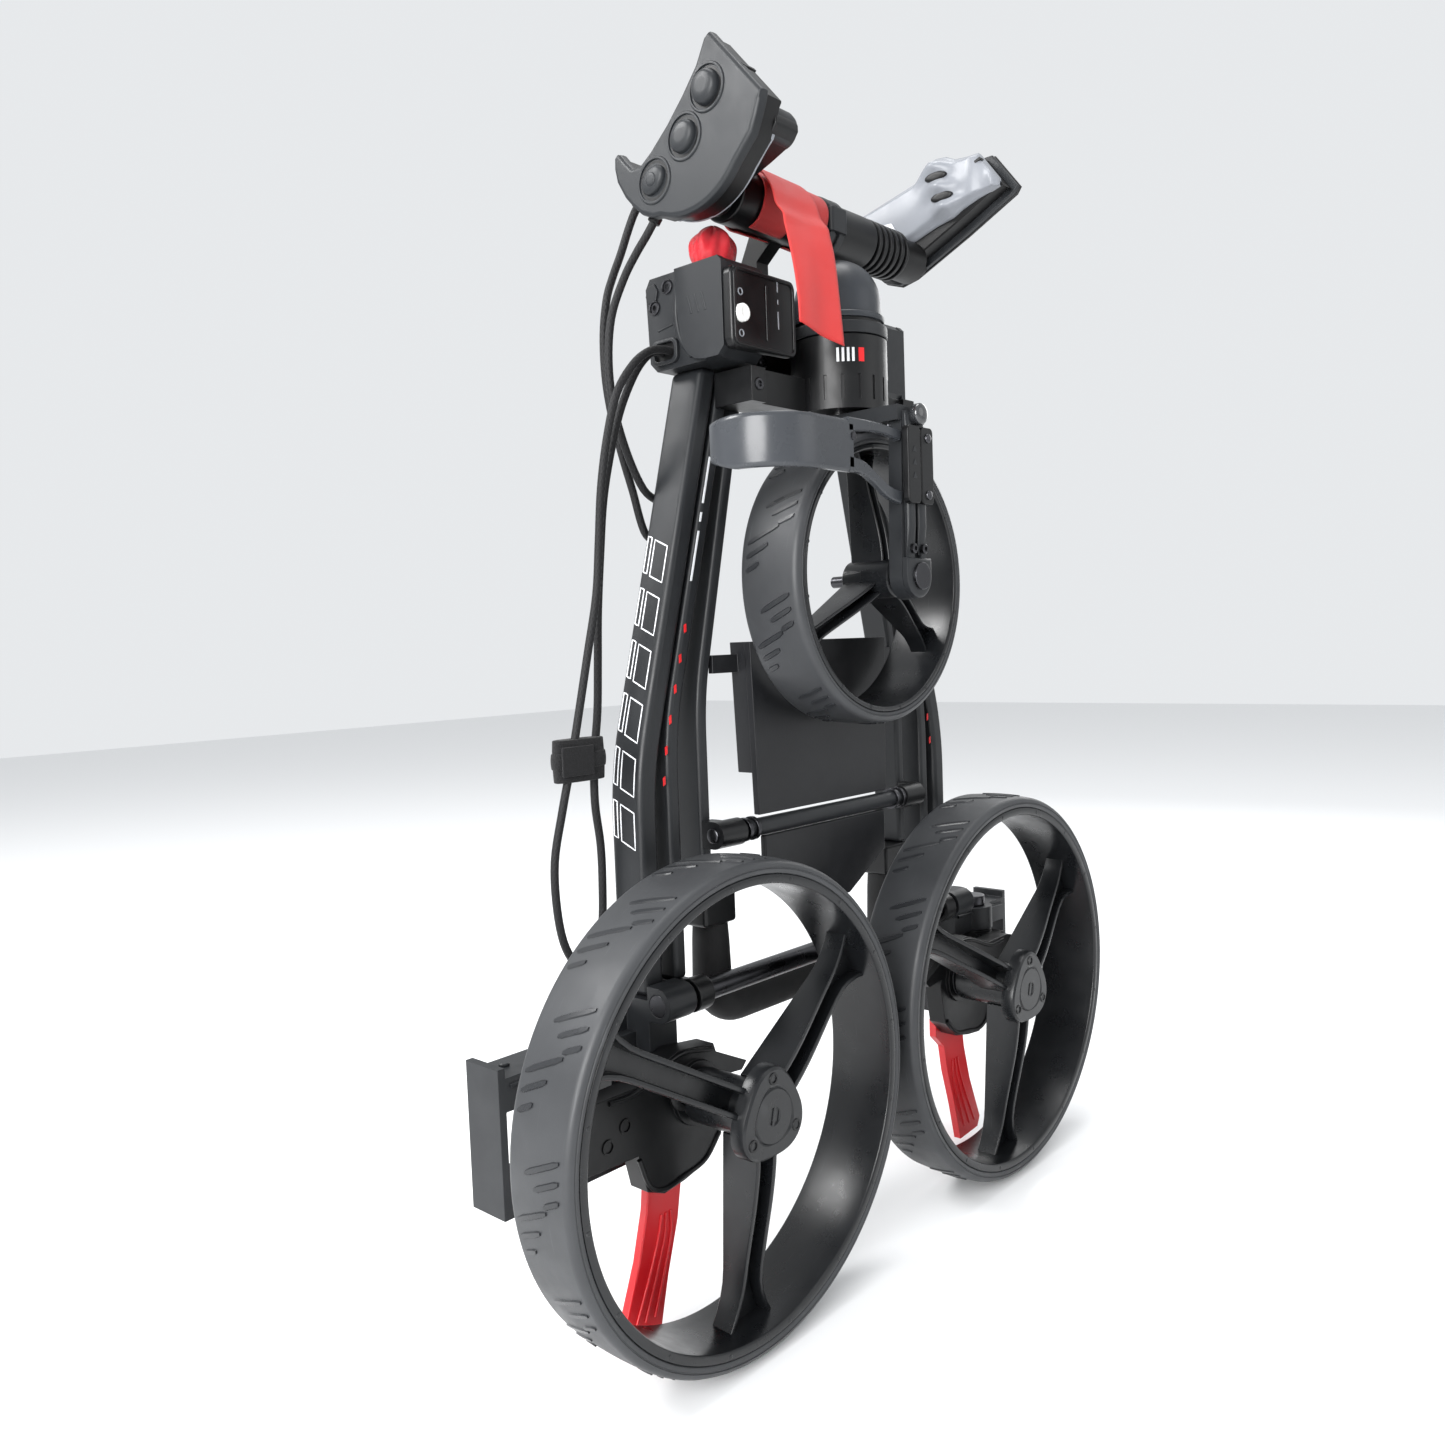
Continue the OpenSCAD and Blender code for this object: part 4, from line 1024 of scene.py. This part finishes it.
def wing_inner(side, inside, outline):
    """The bag's side: a satin pad with three humps near its tip.

    On the right wing it also has near-black ridges in the valleys between the humps and a near-black slot,
    both painted shade, and a pale plate with two screws.
    """
    body = "wing_" + side
    right = side == "right"
    steps_u, steps_v = 84, 36
    u_low, u_high = (-20, 104) if right else (2, 84)
    # Where the humps peak, their spread and height, where the raised shelf starts, and the field's level
    crest, reach, tall, shelf_at, base = (59, 10.0, 6.5, 80, 5.0) if right else (78, 13.0, 5.5, 62, 0.3)

    def edges(u):
        """Lowest and highest v of the outline at u."""
        hits = []
        for (u0, v0), (u1, v1) in zip(outline, outline[1:] + outline[:1]):
            if (u0 - u) * (u1 - u) <= 0 and u0 != u1:
                hits.append(v0 + (v1 - v0) * (u - u0) / (u1 - u0))
        return min(hits), max(hits)

    def rise(u, share):
        """Height of the field towards the bag."""
        dome = 1.2 + 1.6 * math.sin(math.pi * min(max(share, 0), 1))
        hump = 0.0
        for centre in (0.16, 0.5, 0.84):
            across = (share - centre) / 0.13
            hump += math.exp(-across * across) * math.exp(-((u - crest - 14 * (0.5 - share)) / reach) ** 2)
        shelf = 1 / (1 + math.exp(-(u - shelf_at) / 3.5))
        return dome + tall * hump + 2.0 * shelf - 3.2 * shelf * math.exp(-((u - shelf_at - 14) / 8.0) ** 2)

    def face_x(u, share, fade=1.0):
        return inside - (base + rise(u, share)) * fade

    bm = bmesh.new()
    grid = []
    for i in range(steps_u + 1):
        u = u_low + (u_high - u_low) * i / steps_u
        v0, v1 = edges(u)
        if not right:
            v0, v1 = v0 + 2.2, v1 - 2.2
        column = []
        for j in range(steps_v + 1):
            share = j / steps_v
            fade = min(1.0, 7 * share + 0.2, 7 * (1 - share) + 0.2, i / 4 + 0.2, (steps_u - i) / 3 + 0.2)
            at = wing_point(side, u, v0 + (v1 - v0) * share, face_x(u, share, fade))
            column.append(bm.verts.new(at / 1000))
        grid.append(column)
    back_x = SIDES[side] * (inside + 1.5) / 1000
    back = [[bm.verts.new((back_x, v.co.y, v.co.z)) for v in (column[0], column[-1])] for column in grid]
    for a, b in zip(grid, grid[1:]):
        for j in range(steps_v):
            bm.faces.new((a[j], a[j + 1], b[j + 1], b[j]))
    for i in range(steps_u):
        bm.faces.new((grid[i][0], grid[i + 1][0], back[i + 1][0], back[i][0]))
        bm.faces.new((grid[i][-1], grid[i + 1][-1], back[i + 1][1], back[i][1]))
        bm.faces.new((back[i][0], back[i + 1][0], back[i + 1][1], back[i][1]))
    for i in (0, steps_u):
        bm.faces.new((*grid[i], back[i][1], back[i][0]))
    piece("wing_field_" + side, bm, body, "satin_grey", angle=55)
    if not right:
        return
    # Near-black ridges in the valleys between the humps, and a near-black slot: painted shade
    dark = bmesh.new()
    for share in (0.33, 0.67):
        u = crest + 14 * (0.5 - share)
        v0, v1 = edges(u)
        bump(dark, side, u, v0 + (v1 - v0) * share, face_x(u, share) + 0.3, 8.0, 1.6, wide=1.15, way=-1,
             squash=0.42)
    corners = ((80, 37.0), (92.5, 41.6), (92.0, 43.4), (79.5, 38.8))
    slot = [wing_point(side, u, v, face_x(95, 0.5)) for u, v in corners]
    skin(dark, [[p + Vector((d, 0, 0)) for p in slot] for d in (-0.9, 6)])
    piece("wing_valleys_painted_shade_" + side, dark, body, "rim_rubber", angle=40)
    plate = bmesh.new()
    corners = ((-8, 17), (16, 16), (26, -1), (6, -3))
    skin(plate, [[wing_point(side, u, v, face_x(0, 0.4) - x) for u, v in corners] for x in (-3.0, 1.4)])
    piece("wing_plate_" + side, plate, body, "plate", bevel=0.6)
    screws = bmesh.new()
    for u, v in ((5, 7.5), (17, 7)):
        bump(screws, side, u, v, face_x(0, 0.4) - 1.3, 2.6, 1.0, way=-1)
    piece("wing_plate_screws_" + side, screws, body, "dark_steel", angle=30)


def barrel():
    """Barrel with fins on its right half, stub shafts and end rings."""
    low, high = box_mm("bracket_barrel")
    bm = bmesh.new()
    profile = [(7, low.x), (7, -93), (17.2, -93), (18, -92), (18, 46)]
    for x in range(48, 90, 7):
        profile += [(18, x), (18, x + 3.4), (14.6, x + 4.0), (14.6, x + 6.4)]
    profile += [(18, 90), (18, 92), (17.2, 93), (7, 93), (7, high.x)]
    turned(bm, "x", (0, HINGE.y, HINGE.z), profile, 72)
    piece("barrel", bm, "frame", "black", ["bracket_barrel"], bevel=0.4, segments=2, angle=35)
    clips = bmesh.new()
    for x in (-4, 6):
        hoop(clips, "x", (x, HINGE.y, HINGE.z), [(17.5, 0), (19.6, 0.3), (19.6, 5.7), (17.5, 6)], 60)
    brick(clips, (-6, HINGE.y - 21, HINGE.z - 8), (12, HINGE.y - 15, HINGE.z + 8), 3)
    piece("barrel_clips", clips, "frame", "dark_grey", bevel=0.6)


barrel()
for side in SIDES:
    wing(side)

# ---- Front fork, its clamp, the bag's hoop and the front axle ----


def fork():
    """One-sided strut: two half-round ribs over a rounded foot, with a small mark and two screws."""
    low, _ = box_mm("fork")
    refined("fork", "dark_grey", 1.0)
    refined("swivel_spindle", "steel", 0.4)
    refined("front_axle", "dark_steel", 0.6)
    ribs = bmesh.new()
    foot_z, top = low.z + 15, -68
    rib_foot = foot_z + 14
    for x in (-6.2, 6.2):
        loops = []
        for n in range(25):
            t = n / 24
            z = rib_foot + (top - foot_z - 14) * t
            grow = min(1.0, 5 * t, 5 * (1 - t) + 0.45)
            loops.append([(x + 4.4 * math.cos(a), low.y + 1.2 - 3.0 * grow * max(math.sin(a), -0.35), z)
                          for a in around(20)])
        skin(ribs, loops)
    piece("strut_ribs", ribs, "front_fork", "dark_grey", angle=50)
    foot = bmesh.new()
    foot_r = 14.2
    outline = arc(0, foot_z, foot_r, 180, 360, 20) + [(foot_r, foot_z + 12), (-foot_r, foot_z + 12)]
    skin(foot, [[(u * grow, low.y + y, foot_z + (v - foot_z) * grow) for u, v in outline]
                for y, grow in ((3, 1.0), (-0.4, 1.0), (-1.4, 0.94), (-1.8, 0.84))])
    piece("strut_foot", foot, "front_fork", "dark_grey", angle=40)
    marks = bmesh.new()
    mark_z = foot_z - 7
    for x, tall in ((0, 3), (4, 5)):
        bar = [(x - 4, mark_z), (x - 2, mark_z), (x, mark_z + tall), (x - 2, mark_z + tall)]
        prism(marks, "y", bar, low.y - 2.2, low.y - 1.4)
    piece("strut_mark", marks, "front_fork", "dark_grey", bevel=0.2)
    heads("strut_screws", "front_fork", "dark_steel", "y", [(x, low.y, foot_z + 18) for x in (-6, 6)],
          [(3.2, 0.5), (3.2, -1.9), (2.6, -2.4), (1.5, -2.4), (1.4, -1.2), (0.1, -1.2)], 20, angle=30)


def clamp():
    """Two upright plates with marks and rivets, and the glossy knob on top."""
    low, high = box_mm("fork_clamp")
    bm = bmesh.new()
    back, front = high.y + 0.2, low.y + 2.2
    for x0, x1, y in ((low.x + 0.6, -1.0, front), (1.0, high.x - 0.6, front + 0.8)):
        outline = rounded(x0, low.z, x1, high.z, 3.4, 6)
        skin(bm, [[(u, d, v) for u, v in outline] for d in (back, y + 0.8)]
             + [[(x0 + (u - x0) * 0.94 + 0.45, y, v) for u, v in outline]])
    piece("clamp_plates", bm, "front_fork", "black", ["fork_clamp"], bevel=0.6, angle=35)
    marks = bmesh.new()
    for k in range(3):
        z = low.z + 16 + 8.5 * k
        x = (low.x - 1) / 2
        prism(marks, "y", [(x - 2.2, z), (x + 2.2, z), (x, z + 4)], front - 0.35, front + 0.4)
    piece("clamp_marks", marks, "front_fork", "dark_grey", bevel=0.15)
    places = [((high.x + 1) / 2, front + 0.8, z) for z in (low.z + 6, high.z - 7)]
    heads("clamp_rivets", "front_fork", "dark_steel", "y", places,
          [(3.1, 0.3), (3.1, -0.7), (2.6, -1.3), (1.4, -1.6), (0.1, -1.7)], 24, angle=45)
    knob_low, knob_high = box_mm("clamp_knob")
    at = Vector((0, knob_high.y, (knob_low.z + knob_high.z) / 2))
    r = (knob_high.z - knob_low.z) / 2
    deep = knob_high.y - knob_low.y
    turns = [math.radians(a) for a in range(10, 90, 10)]
    domed = [(r * math.cos(a), -deep + 3.4 - 3.2 * math.sin(a)) for a in turns]
    profile = [(r - 0.6, 0), (r, -0.8), (r, -deep + 3.4), *domed, (0.1, -deep + 0.2)]
    heads("clamp_knob_cap", "front_fork", "gloss", "y", [at], profile, 40, ["clamp_knob"], angle=50)


def hoop_band():
    """The satin band that curves to the left, and its two arms with a window between them."""
    front, thick = box_mm("cradle_hoop")[0].y, 5.0
    bend = 38.0
    centre_x, centre_y = -102.0, front + bend
    bm = bmesh.new()

    def band_place(t):
        """Middle line of the band's front face: straight from the arms, then round to the left."""
        straight, round_by = 36.0, math.radians(120)
        length = straight + bend * round_by
        s = t * length
        if s < straight:
            return Vector((centre_x + straight - s, front, 0)), Vector((0, 1, 0))
        a = (s - straight) / bend
        out = Vector((-math.sin(a), -math.cos(a), 0))
        return Vector((centre_x, centre_y, 0)) + out * bend, -out

    loops = []
    for n in range(49):
        t = n / 48
        p, inward = band_place(t)
        ease = min(1.0, (1 - t) * 5)
        top = -78.0 - 1.5 * (1 - ease)
        bottom = -110.0 + 6.0 * (1 - ease)
        edge = ((bottom + 1, 0.3), (bottom + 3, 0.0), ((top + bottom) / 2, 0.0), (top - 3, 0.0),
                (top - 1, 0.3), (top, 1.4), (top, thick - 0.6), (top - 0.8, thick), (bottom + 0.8, thick),
                (bottom, thick - 0.6), (bottom, 1.4))
        loops.append([(p.x + inward.x * d, p.y + inward.y * d, v) for v, d in edge])
    skin(bm, loops)
    piece("hoop_band", bm, "front_fork", "hoop", ["cradle_hoop"], angle=40)
    arms = bmesh.new()
    for spine in (
        [(-70, -81, 9), (-52, -80, 7), (-34, -80, 6), (-14, -82, 7)],
        [(-70, -105, 10), (-56, -106, 8), (-42, -112, 7), (-28, -119, 7.5), (-14, -122, 8)],
    ):
        path = flowing([(x, front + 2.4, z) for x, z, _ in spine], 6)
        widths = flowing([(w, 0, 0) for _, _, w in spine], 6)

        def section(t, widths=widths):
            w = widths[min(int(t * (len(widths) - 1)), len(widths) - 1)].x / 2
            return [(2.4, -w + 0.8), (2.4, w - 0.8), (1.6, w), (-1.8, w), (-2.4, w - 0.8), (-2.4, -w + 0.8),
                    (-1.8, -w), (1.6, -w)]

        sweep(arms, path, section, up=(0, 0, 1))
    piece("hoop_arms", arms, "front_fork", "hoop", angle=40)
    heads("hoop_rivet", "front_fork", "dark_steel", "y", [(-66, front, -88)],
          [(2.6, 0.3), (2.6, -0.5), (1.8, -1.1), (0.1, -1.4)], 24, angle=45)
    heads("hoop_screws", "front_fork", "dark_steel", "z", [(x, front + 2.5, -77) for x in (-44, -34, -24)],
          [(1.9, -0.4), (1.9, 0.5), (1.3, 0.9), (0.1, 0.9)], 16, angle=45)


fork()
clamp()
hoop_band()

# ---- Foot of the cart: brackets, hinge tube, wheel arms, axles and red levers ----


def wheel_arm(side):
    """Cover plate with raised lines along its edges, two rings, a black pivot cover and the axle's boss."""
    s = SIDES[side]
    body = "wheel_arm_" + side
    refined(body, "black", 2.0)
    refined("rear_axle_" + side, "dark_steel", 0.5)
    front = box_mm(body)[0].y    # front of the axle's boss
    plate = front + 3            # the cover plate's front lies 3 mm behind it
    centre, _, _ = wheel_centre("rear_rim_" + side)
    trim = bmesh.new()
    upper = ((140, -467), (170, -463), (206, -475), (228, -475))
    lower = ((136, -522), (150, -535), (170, -539), (186, -541), (198, -535), (206, -516))
    for edge in (upper, lower):
        sweep(trim, flowing([(s * x, plate - 0.2, z) for x, z in edge], 8), circle(1.6, 8))
    for x, z in ((216, -492), (230, -500)):
        hoop(trim, "y", (s * x, plate, z), [(3.2, 0.3), (4.6, 0.3), (4.4, -0.9), (3.4, -0.9)], 28)
    piece("arm_trim_" + side, trim, body, "black", angle=50)
    heads("arm_pivot_cover_" + side, body, "rim_rubber", "y", [(s * 170, front, -484)],
          [(12, 0.3), (12, -1.6), (11, -2.6), (8, -3.0), (7.4, -2.4), (0.1, -2.2)], 44, angle=40)
    boss = bmesh.new()
    hoop(boss, "y", (centre.x, -50, centre.z), [(6, 0), (15, 0), (15.5, 4), (13, 5), (6, 5)], 48)
    piece("arm_boss_" + side, boss, body, "dark_grey", bevel=0.5)


def lever(side):
    """Red lever with three ridges along its blade and a raised ring round the hole in its head."""
    s = SIDES[side]
    refined("lever_" + side, "lever", 1.2, segments=4, angle=28)
    front = box_mm("lever_" + side)[0].y
    trim = bmesh.new()
    for offset in (-5.5, 0, 5.5):
        line = ((171 + 0.7 * offset, -566), (173 + offset, -580), (181 + offset * 1.2, -602),
                (192 + offset * 1.5, -628))
        sweep(trim, flowing([(s * x, front - 0.2, z) for x, z in line], 8), circle(1.0, 8))
    hoop(trim, "y", (s * 171, front, -533), [(5.5, 0.2), (8.5, 0.2), (8.2, -1.2), (5.8, -1.2)], 36)
    piece("lever_ridges_" + side, trim, "lever_" + side, "lever", angle=50)


def foot():
    """The brackets that the outer beams stand on, their pins, and the hinge tube between them."""
    refined("hinge_tube", "dark_steel", 0.5)
    refined("arm_knuckles", "black", 1.0)
    for side, s in SIDES.items():
        refined("axle_bracket_" + side, "dark_grey", 1.6)
        refined("arm_pin_" + side, "dark_steel", 1.2)
        trim = bmesh.new()
        edge = ((202, -454), (222, -455), (254, -455), (276, -456))
        sweep(trim, flowing([(s * x, -18.2, z) for x, z in edge], 6), circle(1.4, 8))
        for x in (208, 266):
            turned(trim, "z", Vector((s * x, 0, -451)), [(3.2, -0.4), (3.2, 1.2), (2.6, 1.8), (0.1, 1.8)], 20)
        piece("bracket_trim_" + side, trim, "frame", "dark_grey", angle=40)
        wheel_arm(side)
        lever(side)


foot()

# ---- Handle: grip, collars, cross rod and score-card console ----


def grip():
    """U-shaped foam grip, slightly plump between its collars."""
    low, high = box_mm("handle_grip")
    r = (high.y - low.y) / 2
    middle_y = (low.y + high.y) / 2
    x_out, bend = high.x - r, 22.0
    bottom = low.z + r

    def corner(x, start):
        return [(x + bend * math.cos(a), bottom + bend + bend * math.sin(a))
                for a in [math.radians(start + 9 * k) for k in range(11)]]

    spine = [(-x_out, high.z), (-x_out, high.z - 12), *corner(bend - x_out, 180)]
    spine += [(x, bottom) for x in (-50, -25, 0, 25, 50)]
    spine += [*corner(x_out - bend, 270), (x_out, high.z - 12), (x_out, high.z)]

    def section(t):
        swell = 1.0 - 0.05 * (1 - math.sin(math.pi * t)) - 0.10 * max(0, 1 - 14 * min(t, 1 - t))
        return [(u * swell, v * swell) for u, v in circle(r, 28)]

    bm = bmesh.new()
    sweep(bm, [(x, middle_y, z) for x, z in spine], section)
    foam = piece("grip_foam", bm, "handle", "foam", ["handle_grip"], angle=60)


def console():
    """Panel with a raised border, its bracket, and the rod that crosses it with collars and end caps."""
    refined("console_panel", "panel", 1.8)
    refined("console_bracket", "panel", 1.2)
    refined("cross_rod", "dark_grey", 0.5)
    refined("rod_bushes", "black", 1.2)
    refined("grip_collars", "black", 2.6, segments=4)
    refined("handle_barrels", "black", 1.2)
    front = box_mm("console_panel")[0].y
    face = bmesh.new()
    outer = [(-70, -220), (70, -220), (66, -316), (-66, -316)]
    inner = [(-66, -224), (66, -224), (62.4, -312), (-62.4, -312)]
    border(face, "y", outer, inner, front + 5.2, front + 3.9, front + 3.9)
    piece("console_border", face, "handle", "panel", bevel=0.4)
    rings = bmesh.new()
    rod_y, rod_z = -34, -336
    cap = ((5, -0.6), (5, 1.0), (3.8, 1.7), (0.1, 1.7))
    for s in SIDES.values():
        for x in (82, 90):
            hoop(rings, "x", (s * x, rod_y, rod_z), [(6.1, 0), (8.0, 0), (8.0, 3), (6.1, 3)], 36)
        turned(rings, "x", Vector((s * 118, rod_y, rod_z)), [(r, h * s) for r, h in cap], 24)
    piece("rod_collars", rings, "handle", "dark_steel", bevel=0.3)


grip()
console()

# ---- Red ribbon parts: each is a thin cloth, drawn as a grid of points over its own width and length ----


def cloth(name, grid, size, body, look, replaces=(), keep=None, closed=False, thick=0.7):
    """A thin cloth through a grid of points in millimetres; its UVs are metres over its flat size."""
    bm = bmesh.new()
    uv = bm.loops.layers.uv.new("UVMap")
    verts = [[bm.verts.new(Vector(p) / 1000) for p in row] for row in grid]
    rows, columns = len(grid), len(grid[0])
    spans = columns if closed else columns - 1
    for i in range(rows - 1):
        for j in range(spans):
            if keep and not keep(i, j):
                continue
            k = (j + 1) % columns
            face = bm.faces.new((verts[i][j], verts[i][k], verts[i + 1][k], verts[i + 1][j]))
            spots = ((j, i), (j + 1, i), (j + 1, i + 1), (j, i + 1))
            for loop, (column, row) in zip(face.loops, spots):
                loop[uv].uv = (size[0] * column / spans, size[1] * row / (rows - 1))
    loose = [v for v in bm.verts if not v.link_faces]
    bmesh.ops.delete(bm, geom=loose, context="VERTS")
    obj = piece(name, bm, body, look, replaces, angle=180)
    weave = obj.modifiers.new("thickness", "SOLIDIFY")
    weave.thickness = thick / 1000
    weave.offset = 0
    return obj


BAND_R = 19.4
BAND_LENGTH = 2 * math.pi * BAND_R * 330 / 360 / 1000


def red_band():
    """Ribbon round the barrel, cut back where the frame's post holds it, with slack waves at its edges."""
    low, high = box_mm("red_band")
    post_low, post_high, post_top = -44.5, -27.5, 79.5
    columns, rows = 34, 66
    grid = []
    for i in range(rows + 1):
        a = math.radians(-75 + 330 * i / rows)
        row = []
        for j in range(columns + 1):
            x = low.x + 1 + (high.x - low.x - 2) * j / columns
            edge = abs(2 * j / columns - 1) ** 3
            r = BAND_R + 0.35 * edge * math.sin(5 * a) + 0.25 * math.sin(3 * a + x / 9)
            row.append((x, HINGE.y + r * math.cos(a), HINGE.z + r * math.sin(a)))
        grid.append(row)

    def keep(i, j):
        x, _, z = grid[i][j]
        return not (post_low < x < post_high and z < post_top)

    width = (high.x - low.x - 2) / 1000
    band = cloth("ribbon_band", grid, (width, BAND_LENGTH), "frame", "ribbon", ["red_band"], keep)


TAG_SPINE = [(-57, 84.5), (-64, 82), (-71.5, 75.5), (-77.5, 66), (-80, 57), (-84.5, 48.5), (-88.5, 36),
             (-91.5, 18), (-93.2, -2), (-94, -22)]


def hang_tag():
    """Broad ribbon that hangs over the barrel, with a fold near its top and a slanted lower edge."""
    low, high = box_mm("hang_tag")
    left, wide = low.x + 0.6, high.x - low.x - 1.2
    spine = flowing([(y, z, 0) for y, z in TAG_SPINE], 7)
    columns = 22
    reach = sum((b - a).length for a, b in zip(spine, spine[1:]))
    grid, at = [], 0.0
    for i, p in enumerate(spine):
        if i:
            at += (p - spine[i - 1]).length
        share = at / reach
        row = []
        for j in range(columns + 1):
            across = j / columns
            slant = 8.0 * (across - 0.5) * max(0.0, share - 0.55) / 0.45
            wave = 0.9 * share * math.sin(2.2 * math.pi * across + 0.6)
            wave += 0.5 * math.sin(9 * share + 4 * across)
            fold = 1.5 * math.exp(-((share - 0.40) / 0.035) ** 2) * (0.7 + 0.3 * math.cos(5 * across))
            drift = 3.2 * share
            row.append((left + wide * across + drift, p.x - wave - fold + 0.4, p.y - slant))
        grid.append(row)
    width, length = wide / 1000, reach / 1000
    tag = cloth("ribbon_tag", grid, (width, length), "frame", "tag", ["hang_tag"])


LOOP_LENGTH = 0.036
LOOP_ROUND = 0.088


def red_loop():
    """Doubled ribbon that bulges over the block's top: widest low down, creased and pinched at its top."""
    low, high = box_mm("red_loop")
    middle = (low + high) / 2
    wide, deep = (high.x - low.x) / 2 - 1.2, (high.y - low.y) / 2 - 0.8
    columns, rows = 72, 26
    grid = []
    for i in range(rows + 1):
        t = i / rows
        z = low.z + 0.3 + (high.z - low.z - 0.8) * t
        body_width = (0.80 + 0.20 * math.sin(math.pi * min(t / 0.62, 1.0))) if t < 0.35 else 1.0
        pinch = 1.0 if t < 0.35 else math.cos(math.radians(83 * ((t - 0.35) / 0.65) ** 1.35))
        grow = body_width * pinch
        crease = 0.05 + 0.42 * t * t
        row = []
        for a in around(columns):
            ruffle = 1 + crease * (0.6 * math.cos(5 * a + 2.2 * t) + 0.4 * math.cos(11 * a - 3 * t))
            row.append((middle.x + 1.5 * t + wide * 0.86 * grow * ruffle * math.cos(a),
                        middle.y + deep * 0.94 * grow * ruffle * math.sin(a), z))
        grid.append(row)
    loop = cloth("ribbon_loop", grid, (LOOP_ROUND, LOOP_LENGTH), "frame", "satin", ["red_loop"], closed=True)


red_band()
hang_tag()
red_loop()

# ---- Floor, soft light and pale surroundings ----


def floor():
    """A plain pale floor a little below the lowest wheel."""
    half, gap = 6.0, 0.004
    level = cad_box[0][2] - gap
    corners = ((-half, -half), (half, -half), (half, half), (-half, half))
    bm = bmesh.new()
    bm.faces.new([bm.verts.new((x, y, level)) for x, y in corners])
    material, _, shader = nodes_of("pale_floor")
    shader.inputs["Base Color"].default_value = (0.80, 0.805, 0.81, 1)
    shader.inputs["Roughness"].default_value = 0.85
    object_of("floor", bm, material)


def softbox(name, at, size, watts):
    """A large soft lamp that faces the middle of the object."""
    data = bpy.data.lights.new(name, "AREA")
    data.shape = "DISK"
    data.size = size
    data.energy = watts
    obj = linked(name, data)
    middle = sum((Vector(c) for c in cad_box), Vector()) / 2
    obj.location = at
    obj.rotation_euler = (middle - Vector(at)).to_track_quat("-Z", "Y").to_euler()


def surroundings():
    """An even, pale world that lights the object from all sides."""
    world = bpy.data.worlds.new("studio")
    world.use_nodes = True
    background = world.node_tree.nodes["Background"]
    background.inputs["Color"].default_value = (0.93, 0.95, 0.97, 1)
    background.inputs["Strength"].default_value = 0.86
    bpy.context.scene.world = world
    bpy.context.scene.view_settings.view_transform = "Standard"


floor()
surroundings()
softbox("key_light", (-1.9, -0.6, 0.3), 1.3, 66)
softbox("fill_light", (0.9, -2.1, 0.5), 1.6, 7)
softbox("top_light", (0.2, 0.1, 2.0), 1.4, 28)
softbox("side_light", (1.9, 0.3, 0.5), 1.0, 7)
softbox("back_light", (-1.5, 1.2, 1.4), 0.9, 45)
